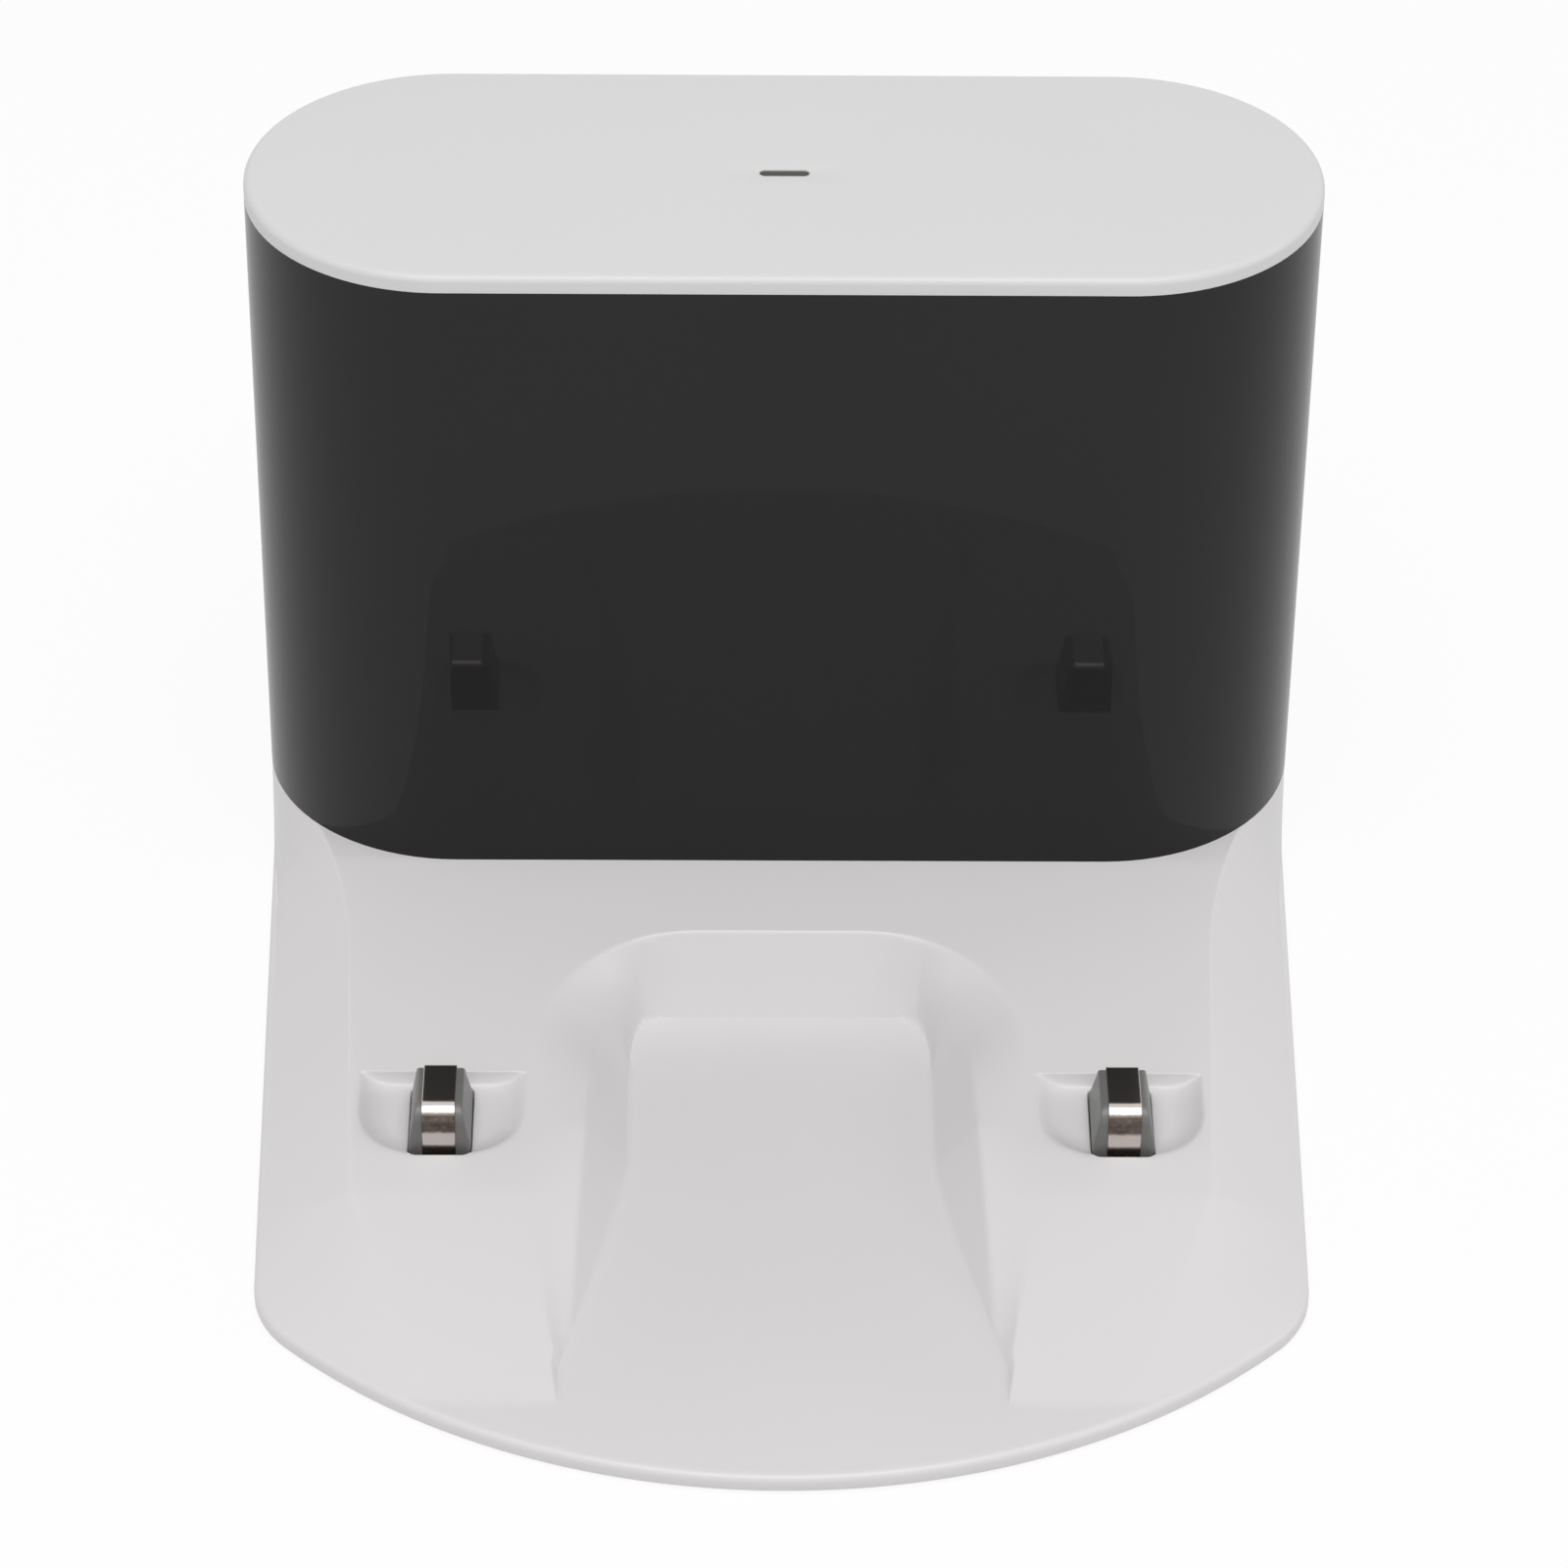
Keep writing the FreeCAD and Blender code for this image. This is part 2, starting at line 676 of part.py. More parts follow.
cap = prism(stadium(0.0, cap_bottom), cap_band)
top_edges = [edge for edge in cap.Edges if edge.BoundBox.ZMin > overall_height - 0.01]
cap = cap.makeFillet(cap_edge_radius, top_edges)
skirt_inset = head_wall + skirt_gap
skirt_low = cap_bottom - skirt_height
skirt = prism(stadium(skirt_inset, skirt_low), skirt_height)
skirt = skirt.cut(prism(stadium(skirt_inset + skirt_wall, skirt_low - 1.0), skirt_height + 2.0))
post_x = slot_length / 2 + post_reach
posts = []
for name, sign in sides:
    posts.append(rod(sign * post_x, head_y, cap_bottom - indicator_drop, cap_bottom, boss_radius))
cap = cap.fuse([skirt] + posts).removeSplitter()


def slot_solid(length, width, low, high):
    straight = (length - width) / 2
    middle = box(-straight, straight, head_y - width / 2, head_y + width / 2, low, high)
    ends = [rod(sign * straight, head_y, low, high, width / 2) for sign in (-1, 1)]
    return middle.fuse(ends).removeSplitter()


cap = cap.cut(slot_solid(slot_length, slot_width, cap_bottom - 1.0, overall_height + 1.0))
for name, sign in sides:
    post_low = cap_bottom - indicator_drop - 1.0
    cap = cap.cut(rod(sign * post_x, head_y, post_low, cap_bottom - 3.0, pilot))
parts["top_cap"] = cap

guide_low = overall_height - guide_height
guide_trim = 2 * guide_gap
guide = slot_solid(slot_length - guide_trim, slot_width - guide_trim, guide_low, overall_height - guide_sink)
flange_half = slot_length / 2 + guide_flange
flange_side = slot_width / 2 + guide_flange
shoulder = box(-flange_half, flange_half, head_y - flange_side, head_y + flange_side,
               cap_bottom - guide_flange_height, cap_bottom)
parts["light_guide"] = guide.fuse(shoulder).removeSplitter()

indicator_top = cap_bottom - indicator_drop
indicator_half = post_x + indicator_margin
indicator_front = min(head_y - indicator_depth / 2, board_front - 2 * lead_radius - lead_clear)
indicator = box(-indicator_half, indicator_half, indicator_front, head_y + indicator_depth / 2,
                indicator_top - board_thickness, indicator_top)
for name, sign in sides:
    hole = rod(sign * post_x, head_y, indicator_top - 3.0, indicator_top + 1.0, pilot + 0.1)
    indicator = indicator.cut(hole)
parts["indicator_board"] = indicator
parts["status_light"] = box(-light_length / 2, light_length / 2, head_y - light_width / 2,
                            head_y + light_width / 2, indicator_top, guide_low - light_gap)
indicator_seat = indicator_top - board_thickness
screws = [screw_up(sign * post_x, head_y, indicator_seat, indicator_screw_length) for sign in (-1, 1)]
parts["indicator_screws"] = Part.makeCompound(screws)

# Beacon: bracket on the deck, board and emitters facing the window.
beacon_high = cap_bottom - beacon_top_gap
beacon_low = beacon_high - beacon_height
beacon_half = beacon_width / 2
bracket_half = beacon_half + bracket_margin
bracket_top = beacon_high + bracket_margin
bracket = box(-bracket_half, bracket_half, bracket_front, bracket_back, deck_height, bracket_top)
foot_half = beacon_foot_x + boss_radius + bracket_margin
foot = box(-foot_half, foot_half, bracket_front, bracket_back + bracket_foot_depth,
           deck_height, deck_height + bracket_foot_thickness)
bracket = bracket.fuse(foot)
for name, sign in sides:
    boss_top = deck_height + bracket_boss_height
    boss = rod(sign * beacon_foot_x, beacon_foot_y, deck_height, boss_top, boss_radius)
    bracket = bracket.fuse(boss)
bracket = bracket.removeSplitter()
for name, sign in sides:
    pilot_top = deck_height + bracket_boss_height - 0.5
    hole = rod(sign * beacon_foot_x, beacon_foot_y, deck_height - 1.0, pilot_top, pilot)
    bracket = bracket.cut(hole)
beacon = box(-beacon_half, beacon_half, beacon_front, bracket_front, beacon_low, beacon_high)
beacon_middle = (beacon_low + beacon_high) / 2
beacon_screw_x = beacon_half - beacon_screw_inset
beacon_screw_z = beacon_high - beacon_screw_inset
for name, sign in sides:
    x = sign * beacon_screw_x
    beacon = beacon.cut(rod_along_y(x, beacon_screw_z, beacon_front - 1.0, bracket_front + 1.0, pilot + 0.1))
    bracket = bracket.cut(rod_along_y(x, beacon_screw_z, bracket_front - 1.0, bracket_back + 1.0, pilot))
parts["beacon_bracket"] = bracket
parts["beacon_board"] = beacon
emitters = []
for index in range(emitter_count):
    x = between(index / (emitter_count - 1), emitter_margin - beacon_half, beacon_half - emitter_margin)
    tube_end = beacon_front - emitter_length + emitter_radius
    body = rod_along_y(x, beacon_middle, tube_end, beacon_front, emitter_radius)
    dome = Part.makeSphere(emitter_radius, Vector(x, tube_end, beacon_middle), Vector(0, -1, 0), 0, 90, 360)
    emitters.append(body.fuse(dome).removeSplitter())
parts["beacon_emitters"] = Part.makeCompound(emitters)
screws = [screw_back(sign * beacon_screw_x, beacon_screw_z, beacon_front, board_thickness + bracket_thickness)
          for sign in (-1, 1)]
parts["beacon_screws"] = Part.makeCompound(screws)

# Power board on the bay's wall, with its larger parts on the front.
board = box(-board_half, board_half, board_front, board_back, board_low, board_high)
for x, z in board_screw_places:
    board = board.cut(rod_along_y(x, z, board_front - 1.0, board_back + 1.0, pilot + 0.1))
parts["power_board"] = board
screws = [screw_back(x, z, board_front, board_thickness + board_standoff) for x, z in board_screw_places]
parts["power_screws"] = Part.makeCompound(screws)
part_front = bracket_back + bracket_foot_depth - boss_radius + part_clearance
part_depth = board_front - part_front
core = box(-transformer_width / 2, transformer_width / 2, part_front, board_front,
           bay_middle - transformer_height / 2, bay_middle + transformer_height / 2)
winding = box(-winding_width / 2, winding_width / 2,
              part_front + board_part_gap, board_front - board_part_gap / 2,
              bay_middle - winding_height / 2, bay_middle + winding_height / 2)
parts["transformer"] = core.fuse(winding).removeSplitter()
left_middle = -(transformer_width / 2 + board_part_gap + capacitor_length / 2)
right_middle = transformer_width / 2 + board_part_gap + rectifier_width / 2
fuse_z = board_low + board_margin + fuse_radius
parts["mains_fuse"] = rod_along_x(board_front - fuse_radius, fuse_z, left_middle - fuse_length / 2,
                                  left_middle + fuse_length / 2, fuse_radius)
choke_z = fuse_z + fuse_radius + board_part_gap + choke_radius
choke = rod_along_y(left_middle, choke_z, board_front - choke_depth, board_front, choke_radius)
choke_hole = rod_along_y(left_middle, choke_z, board_front - choke_depth - 1.0, board_front + 1.0, choke_bore)
parts["filter_choke"] = choke.cut(choke_hole)
can_radius = part_depth / 2
can_z = choke_z + choke_radius + board_part_gap + can_radius
parts["bulk_capacitor"] = rod_along_x(board_front - can_radius, can_z, left_middle - capacitor_length / 2,
                                      left_middle + capacitor_length / 2, can_radius)
output_z = board_low + board_margin + output_can_radius
parts["output_capacitor"] = rod_along_y(right_middle, output_z, part_front, board_front, output_can_radius)
rectifier_low = output_z + output_can_radius + board_part_gap
parts["rectifier"] = box(right_middle - rectifier_width / 2, right_middle + rectifier_width / 2,
                         board_front - rectifier_depth, board_front,
                         rectifier_low, rectifier_low + rectifier_height)

# Mains inlet through the bay's front wall, soldered to the power board.
inlet_x = -inlet_offset
inlet_end = board_back + inlet_length
inlet = box(inlet_x - inlet_width / 2, inlet_x + inlet_width / 2, board_back, inlet_end,
            bay_middle - inlet_height / 2, bay_middle + inlet_height / 2)
pocket_floor = inlet_end - inlet_recess
pocket = box(inlet_x - pin_spacing / 2, inlet_x + pin_spacing / 2, pocket_floor, inlet_end + 1.0,
             bay_middle - pin_pocket_radius + pocket_waist, bay_middle + pin_pocket_radius - pocket_waist)
pins = []
for sign in (-1, 1):
    x = inlet_x + sign * pin_spacing / 2
    pocket = pocket.fuse(rod_along_y(x, bay_middle, pocket_floor, inlet_end + 1.0, pin_pocket_radius))
    pins.append(rod_along_y(x, bay_middle, pocket_floor, inlet_end - pin_sink, pin_radius))
parts["mains_inlet"] = inlet.cut(pocket.removeSplitter())
parts["inlet_pins"] = Part.makeCompound(pins)

screws = [screw_up(x, y, deck_height - shell_wall, head_screw_length) for x, y in head_screw_places]
parts["head_screws"] = Part.makeCompound(screws)

# Sprung contacts: metal plate on a grey carrier, spring inside, terminal under it.
terminal_top = cover_top + terminal_thickness
carrier_bottom = contact_roof - flange_thickness
spring_room = spring_radius + spring_wire / 2 + spring_gap
spring_top = contact_top - spring_roof
for name, sign in sides:
    x = sign * contact_x
    plate_low = contact_roof + plate_foot_gap
    plate = contact_body(x, plate_width, 0.0, plate_low)
    plate = plate.cut(contact_body(x, plate_width + 2.0, plate_thickness, plate_low - 1.0))
    parts["contact_plate_" + name] = plate
    ridge = round_sides(contact_body(x, ridge_width, plate_thickness, contact_roof), ridge_edge)
    shoulder = round_sides(contact_body(x, shoulder_width, shoulder_drop, contact_roof), shoulder_edge)
    wide = shoulder_width / 2 + flange_overhang
    flange = box(x - wide, x + wide, contact_front - flange_overhang, contact_back + flange_overhang,
                 carrier_bottom, contact_roof)
    carrier = flange.fuse([ridge, shoulder]).removeSplitter()
    carrier = carrier.cut(rod(x, contact_y, carrier_bottom - 1.0, spring_top, spring_room))
    parts["contact_carrier_" + name] = carrier
    coil_low = terminal_top + spring_wire / 2
    coil_high = spring_top - spring_wire / 2
    helix = Part.makeHelix((coil_high - coil_low) / spring_turns, coil_high - coil_low, spring_radius)
    section = Part.Wire([Part.makeCircle(spring_wire / 2, Vector(spring_radius, 0, 0), Vector(0, 1, 0))])
    coil = Part.Wire(helix).makePipeShell([section], True, True)
    coil.translate(Vector(x, contact_y, coil_low))
    parts["contact_spring_" + name] = coil
    flange_back = contact_back + flange_overhang
    tab_end = flange_back + tab_reach
    terminal = box(x - terminal_width / 2, x + terminal_width / 2, contact_y - tab_reach, tab_end,
                   cover_top, terminal_top)
    parts["spring_terminal_" + name] = terminal
    level = terminal_top + lead_radius
    rise_y = (pass_front + pass_back) / 2
    run_x = sign * (pass_half_width - tab_reach)
    run_high = board_low + lead_drop
    run = [
        (x, flange_back + lead_clear, level),
        (x, wall_y - lead_bend, level),
        (run_x, rise_y, level),
        (run_x, rise_y, run_high),
        (run_x, board_front, run_high),
    ]
    parts["contact_lead_" + name] = tube(run, lead_radius, lead_bend)

# Leads from the power board to the beacon board and the indicator board.
lead_y = board_front - lead_standoff
beacon_lead_x = board_half - lead_drop
beacon_lead_low = board_high - 2 * lead_drop
beacon_lead_high = beacon_high + lead_rise
beacon_lead_y = beacon_front + board_thickness / 2
beacon_run = [
    (beacon_lead_x, board_front, beacon_lead_low),
    (beacon_lead_x, lead_y, beacon_lead_low),
    (beacon_lead_x, lead_y, beacon_lead_high),
    (beacon_lead_x, beacon_lead_y, beacon_lead_high),
    (beacon_lead_x, beacon_lead_y, beacon_high),
]
parts["beacon_lead"] = tube(beacon_run, lead_radius, short_bend)
indicator_lead_x = indicator_half - indicator_margin / 2
indicator_lead_low = board_high - lead_drop
indicator_lead_y = max(lead_y, indicator_front + lead_radius)
indicator_run = [
    (indicator_lead_x, board_front, indicator_lead_low),
    (indicator_lead_x, indicator_lead_y, indicator_lead_low),
    (indicator_lead_x, indicator_lead_y, indicator_seat),
]
parts["indicator_lead"] = tube(indicator_run, lead_radius, short_bend)

for name, shape in parts.items():
    shape.exportStep("parts/" + name + ".step")
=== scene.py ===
import math

import bpy
import numpy as np
from mathutils import Matrix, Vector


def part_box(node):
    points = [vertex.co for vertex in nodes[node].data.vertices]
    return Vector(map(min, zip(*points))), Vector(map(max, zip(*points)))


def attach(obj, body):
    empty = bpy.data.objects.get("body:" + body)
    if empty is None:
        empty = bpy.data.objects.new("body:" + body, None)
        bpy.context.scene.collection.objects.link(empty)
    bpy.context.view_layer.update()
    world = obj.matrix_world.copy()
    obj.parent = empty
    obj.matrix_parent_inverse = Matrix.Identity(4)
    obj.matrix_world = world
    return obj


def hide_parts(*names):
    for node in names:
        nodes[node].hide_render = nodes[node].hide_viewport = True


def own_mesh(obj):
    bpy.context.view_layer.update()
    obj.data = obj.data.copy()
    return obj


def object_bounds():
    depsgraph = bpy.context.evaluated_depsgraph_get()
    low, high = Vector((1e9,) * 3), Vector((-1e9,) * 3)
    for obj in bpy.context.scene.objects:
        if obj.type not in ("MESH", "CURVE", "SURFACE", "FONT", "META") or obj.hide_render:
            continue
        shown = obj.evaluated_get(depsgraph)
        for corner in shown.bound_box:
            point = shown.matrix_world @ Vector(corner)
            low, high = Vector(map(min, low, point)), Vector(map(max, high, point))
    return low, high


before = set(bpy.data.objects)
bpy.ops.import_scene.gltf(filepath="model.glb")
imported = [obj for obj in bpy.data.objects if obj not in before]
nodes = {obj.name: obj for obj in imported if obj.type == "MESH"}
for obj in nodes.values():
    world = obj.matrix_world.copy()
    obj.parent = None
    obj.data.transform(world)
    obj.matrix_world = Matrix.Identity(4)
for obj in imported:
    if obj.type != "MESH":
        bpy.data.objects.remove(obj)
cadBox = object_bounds()
mm = 0.001
trim = 0.01  # keeps new skins just inside the CAD box, in millimetres
tiny = 1e-6  # least length in a quotient or an angle, so that neither is nought over nought
print("frame loaded with", len(nodes), "nodes")


# corners of a CAD node in millimetres, lowest then highest
def nodeBox(name):
    low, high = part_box(name)
    return np.array(low) / mm, np.array(high) / mm


# runs of evenly spaced values, each run (start, stop, steps) without its last value, then the final stop
def spread(*runs):
    pieces = [np.linspace(start, stop, steps, endpoint=False) for start, stop, steps in runs]
    return np.concatenate(pieces + [np.array([runs[-1][1]])])


# lower of two values, less a quarter of k times the square of 1 - gap / k where their gap is under k
def softMin(a, b, k):
    share = np.clip(1 - np.abs(a - b) / k, 0, 1)
    return np.minimum(a, b) - share ** 2 * k / 4


# higher of two values, rounded in the same way
def softMax(a, b, k):
    return -softMin(-a, -b, k)


# smooth step from 0 at low to 1 at high: 3t squared less 2t cubed
def ease(value, low, high):
    t = np.clip((value - low) / (high - low), 0, 1)
    return t * t * (3 - 2 * t)


# quads of a grid of vertex numbers, each joining a vertex to the next column, the next row and back
def gridQuads(index):
    corners = (index[:-1, :-1], index[:-1, 1:], index[1:, 1:], index[1:, :-1])
    return np.stack(corners, axis=-1).reshape(-1, 4)


# puts points in millimetres and lists of faces into a mesh that rides on a body: smooth, but sharp where two
# faces meet at more than an angle in degrees
def addPiece(name, points, faces, body, slotName, replaced, sharpAngle=40):
    mesh = bpy.data.meshes.new(name)
    mesh.from_pydata((points * mm).tolist(), [], faces)
    mesh.polygons.foreach_set("use_smooth", np.ones(len(mesh.polygons), bool))
    mesh.set_sharp_from_angle(angle=math.radians(sharpAngle))
    mesh.materials.append(finishes[slotName])
    mesh.validate()
    piece = bpy.data.objects.new(name, mesh)
    bpy.context.scene.collection.objects.link(piece)
    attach(piece, body)
    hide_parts(*replaced)
    print("made", name, "with", len(mesh.polygons), "faces")
    return piece


# rounded rectangles in plan, anticlockwise, one at each height: a quarter circle about each corner's centre
def roundedRings(middleX, middleY, halfX, halfY, radius, z, steps=6):
    turn = np.linspace(0, math.pi / 2, steps + 1)
    angle = np.concatenate([turn + quarter * math.pi / 2 for quarter in range(4)])
    cornerX = np.repeat([1, -1, -1, 1], steps + 1)
    cornerY = np.repeat([1, 1, -1, -1], steps + 1)
    radius = radius[:, None]
    x = middleX + cornerX * (halfX[:, None] - radius) + radius * np.cos(angle)
    y = np.reshape(middleY, (-1, 1)) + cornerY * (halfY[:, None] - radius) + radius * np.sin(angle)
    return np.stack([x, y, np.broadcast_to(z[:, None], x.shape)], axis=-1)


# faces of a stack of closed rings: quads between neighbours, and the first and the last ring closed
def stackFaces(count, around):
    index = np.arange(count * around).reshape(count, around)
    quads = gridQuads(np.concatenate([index, index[:, :1]], axis=1)).tolist()
    return quads + [index[0, ::-1].tolist(), index[-1].tolist()]


# Shader values as Python expressions: wraps a socket, and an operator adds its Math node
class Flow:
    def __init__(self, tree, socket=None):
        self.tree = tree
        self.socket = socket

    # any node: its settings first, then a value or a link for each of its sockets
    def node(self, kind, settings=None, sockets=None, out=0):
        made = self.tree.nodes.new("ShaderNode" + kind)
        for key, value in (settings or {}).items():
            setattr(made, key, value)
        for key, value in (sockets or {}).items():
            if isinstance(value, Flow):
                self.tree.links.new(value.socket, made.inputs[key])
            else:
                made.inputs[key].default_value = value
        return Flow(self.tree, made.outputs[out] if len(made.outputs) else None)

    # a Math node on two values
    def maths(self, operation, first, second):
        return self.node("Math", {"operation": operation}, {0: first, 1: second})

    def __add__(self, other):
        return self.maths("ADD", self, other)

    def __radd__(self, other):
        return self.maths("ADD", other, self)

    def __sub__(self, other):
        return self.maths("SUBTRACT", self, other)

    def __rsub__(self, other):
        return self.maths("SUBTRACT", other, self)

    def __mul__(self, other):
        return self.maths("MULTIPLY", self, other)

    def __rmul__(self, other):
        return self.maths("MULTIPLY", other, self)


# a new material with an empty tree, as a Flow to add nodes to
def newMaterial(name):
    material = bpy.data.materials.new(name)
    material.use_nodes = True
    material.node_tree.nodes.clear()
    return material, Flow(material.node_tree)


# the surface of a material: a Principled shader with the given sockets, linked to the output
def surface(flow, sockets):
    shader = flow.node("BsdfPrincipled", {}, sockets)
    flow.node("OutputMaterial", {}, {"Surface": shader})


# two colours mixed by a factor
def blendColour(flow, factor, first, second):
    return flow.node("Mix", {"data_type": "RGBA"}, {0: factor, 6: first, 7: second}, out=2)


mouldedFinish = {
    "grainSize": 0.00028, "grainHeight": 0.000012, "grainDetail": 2.0, "grainRough": 0.12,
    "cloudSize": 0.035, "cloudDetail": 3.0, "cloudRough": 0.06,
}


# moulded plastic: base colour drifts a little with a large soft noise, fine grain lifts the surface
def mouldedPlastic(name, colour, roughness, drift=0.03, grain=1.0, specular=0.5):
    form = mouldedFinish
    material, flow = newMaterial(name)
    place = flow.node("TexCoord", out="Object")
    cloudForm = {"Vector": place, "Scale": 1 / form["cloudSize"], "Detail": form["cloudDetail"]}
    clouds = flow.node("TexNoise", {}, cloudForm)
    grainForm = {"Vector": place, "Scale": 1 / form["grainSize"], "Detail": form["grainDetail"]}
    fine = flow.node("TexNoise", {}, grainForm)
    dark = [part * (1 - drift) for part in colour] + [1.0]
    light = [min(1.0, part * (1 + drift)) for part in colour] + [1.0]
    shade = blendColour(flow, clouds, dark, light)
    rough = roughness + (fine - 0.5) * form["grainRough"] + (clouds - 0.5) * form["cloudRough"]
    height = form["grainHeight"] * grain
    bump = flow.node("Bump", {}, {"Height": fine, "Strength": 1.0, "Distance": height})
    surface(flow, {"Base Color": shade, "Roughness": rough, "Normal": bump, "Specular IOR Level": specular})
    return material


glossFinish = {
    "waveScale": 22.0, "waveDetail": 1.0, "drift": 0.06,
    "fineScale": 900.0, "fineDetail": 2.0, "fineRough": 0.03,
    "coatRough": 0.025, "coatIndex": 1.35,
}


# gloss plastic: one deep colour, a broad sheen under a sharp clear coat, and roughness that drifts a little
def glossPlastic(name, colour, roughness, specular=0.5, coat=0.0):
    form = glossFinish
    material, flow = newMaterial(name)
    place = flow.node("TexCoord", out="Object")
    waveForm = {"Vector": place, "Scale": form["waveScale"], "Detail": form["waveDetail"]}
    wave = flow.node("TexNoise", {}, waveForm)
    fineForm = {"Vector": place, "Scale": form["fineScale"], "Detail": form["fineDetail"]}
    fine = flow.node("TexNoise", {}, fineForm)
    dark = [part * (1 - form["drift"]) for part in colour] + [1.0]
    light = [part * (1 + form["drift"]) for part in colour] + [1.0]
    shade = blendColour(flow, wave, dark, light)
    rough = roughness + (fine - 0.5) * form["fineRough"]
    surface(flow, {"Base Color": shade, "Roughness": rough, "Specular IOR Level": specular,
                   "Coat Weight": coat, "Coat Roughness": form["coatRough"], "Coat IOR": form["coatIndex"]})
    return material


contactFinish = {
    # the brown colour is a painted dark reflection, not a stain: of the dark studio in the bend band, of the
    # shaded slot at the feet
    "clean": (0.60, 0.55, 0.52, 1.0), "paintedReflectionColour": (0.10, 0.075, 0.062, 1.0), "roughness": 0.14,
    "bendLow": 0.0107, "bendHigh": 0.0132, "footHigh": 0.0086, "fade": 0.0003,
    "markScale": 1500.0, "markDetail": 3.0, "markRough": 0.08,
    # shares and added roughness of the painted dark reflection
    "paintedReflectionLeast": 0.75, "paintedReflectionMarks": 0.4, "paintedReflectionRough": 0.12,
}


# contact metal: nickel, with a painted dark brown reflection in a band at its bends and along its feet, with
# fine rub marks
def contactMetal(name, form):
    material, flow = newMaterial(name)
    place = flow.node("TexCoord", out="Object")
    height = flow.node("SeparateXYZ", {}, {"Vector": place}, out="Z")
    markForm = {"Vector": place, "Scale": form["markScale"], "Detail": form["markDetail"]}
    marks = flow.node("TexNoise", {}, markForm)
    level = height + (marks - 0.5) * form["fade"]

    # smooth step over a height: nought under it by the fade, one over it by the fade
    def above(limit):
        sockets = {"Value": level, "From Min": limit - form["fade"], "From Max": limit + form["fade"]}
        return flow.node("MapRange", {"interpolation_type": "SMOOTHSTEP"}, sockets)

    # painted reflection: the bend band is darkened where the metal mirrors the dark studio, the feet where
    # they mirror the shaded slot
    bend = above(form["bendLow"]) * (1 - above(form["bendHigh"]))
    paintedReflection = bend + (1 - above(form["footHigh"]))
    factor = paintedReflection * (form["paintedReflectionLeast"] + marks * form["paintedReflectionMarks"])
    shade = blendColour(flow, factor, form["clean"], form["paintedReflectionColour"])
    rough = form["roughness"] + paintedReflection * form["paintedReflectionRough"] + (marks - 0.5) * form["markRough"]
    surface(flow, {"Base Color": shade, "Roughness": rough, "Metallic": 1.0})
    return material


metalFinish = {
    "lineScale": 6000.0, "lineDetail": 2.0, "lineRough": 0.08, "darkShare": 0.93, "lightShare": 1.05,
    "stretch": (1.0, 0.04, 0.04),
}


# metal: one colour, with fine marks in colour and roughness from a noise scaled along each axis
def plainMetal(name, colour, roughness, stretch=metalFinish["stretch"]):
    form = metalFinish
    material, flow = newMaterial(name)
    place = flow.node("TexCoord", out="Object")
    turned = flow.node("Mapping", {}, {"Vector": place, "Scale": stretch})
    lineForm = {"Vector": turned, "Scale": form["lineScale"], "Detail": form["lineDetail"]}
    lines = flow.node("TexNoise", {}, lineForm)
    dark = [part * form["darkShare"] for part in colour] + [1.0]
    light = [min(1.0, part * form["lightShare"]) for part in colour] + [1.0]
    shade = blendColour(flow, lines, dark, light)
    rough = roughness + (lines - 0.5) * form["lineRough"]
    surface(flow, {"Base Color": shade, "Roughness": rough, "Metallic": 1.0})
    return material


# a finish for each material slot: its colour and roughness, and other values where they aren't the usual ones
finishes = {
    "white_shell": mouldedPlastic("whiteShell", (0.700, 0.684, 0.691), 0.36,
                                  drift=0.012, grain=0.5, specular=0.42),
    "white_cap": mouldedPlastic("whiteCap", (0.664, 0.660, 0.662), 0.40,
                                drift=0.012, grain=0.6, specular=0.35),
    "black_window": glossPlastic("blackWindow", (0.0175, 0.0175, 0.0178), 0.4, specular=0.05, coat=0.5),
    "smoke_lens": glossPlastic("smokeLens", (0.045, 0.046, 0.036), 0.35, specular=0.3),
    "contact_metal": contactMetal("contactMetal", contactFinish),
    "grey_carrier": mouldedPlastic("greyCarrier", (0.15, 0.15, 0.145), 0.36),
    "spring_steel": plainMetal("springSteel", (0.60, 0.60, 0.60), 0.25),
    "terminal_brass": plainMetal("terminalBrass", (0.72, 0.56, 0.30), 0.28),
    "lead_red": mouldedPlastic("leadRed", (0.42, 0.03, 0.025), 0.45),
    "lead_black": mouldedPlastic("leadBlack", (0.02, 0.02, 0.02), 0.45),
    "board_green": mouldedPlastic("boardGreen", (0.03, 0.13, 0.05), 0.38, drift=0.08),
    "bracket_grey": mouldedPlastic("bracketGrey", (0.24, 0.24, 0.24), 0.5),
    "emitter_clear": glossPlastic("emitterClear", (0.30, 0.32, 0.36), 0.1),
    "dark_component": mouldedPlastic("darkComponent", (0.03, 0.03, 0.032), 0.4, drift=0.06),
    "fuse_sleeve": mouldedPlastic("fuseSleeve", (0.55, 0.50, 0.40), 0.3, drift=0.05),
    "inlet_black": mouldedPlastic("inletBlack", (0.025, 0.025, 0.026), 0.45, drift=0.04),
    "pin_metal": plainMetal("pinMetal", (0.66, 0.64, 0.58), 0.25, stretch=(1.0, 1.0, 0.05)),
    "foot_rubber": mouldedPlastic("footRubber", (0.05, 0.05, 0.05), 0.75, drift=0.06, grain=3.0),
    "screw_steel": plainMetal("screwSteel", (0.50, 0.50, 0.49), 0.32, stretch=(1.0, 1.0, 1.0)),
}
# each CAD node takes the finish of its slot
for name, node in nodes.items():
    for holder in node.material_slots:
        slotName = holder.material.name.split(".")[0] if holder.material else ""
        if slotName in finishes:
            holder.material = finishes[slotName]
        else:
            print("no finish for", name, slotName)
print("finishes ready:", len(finishes))

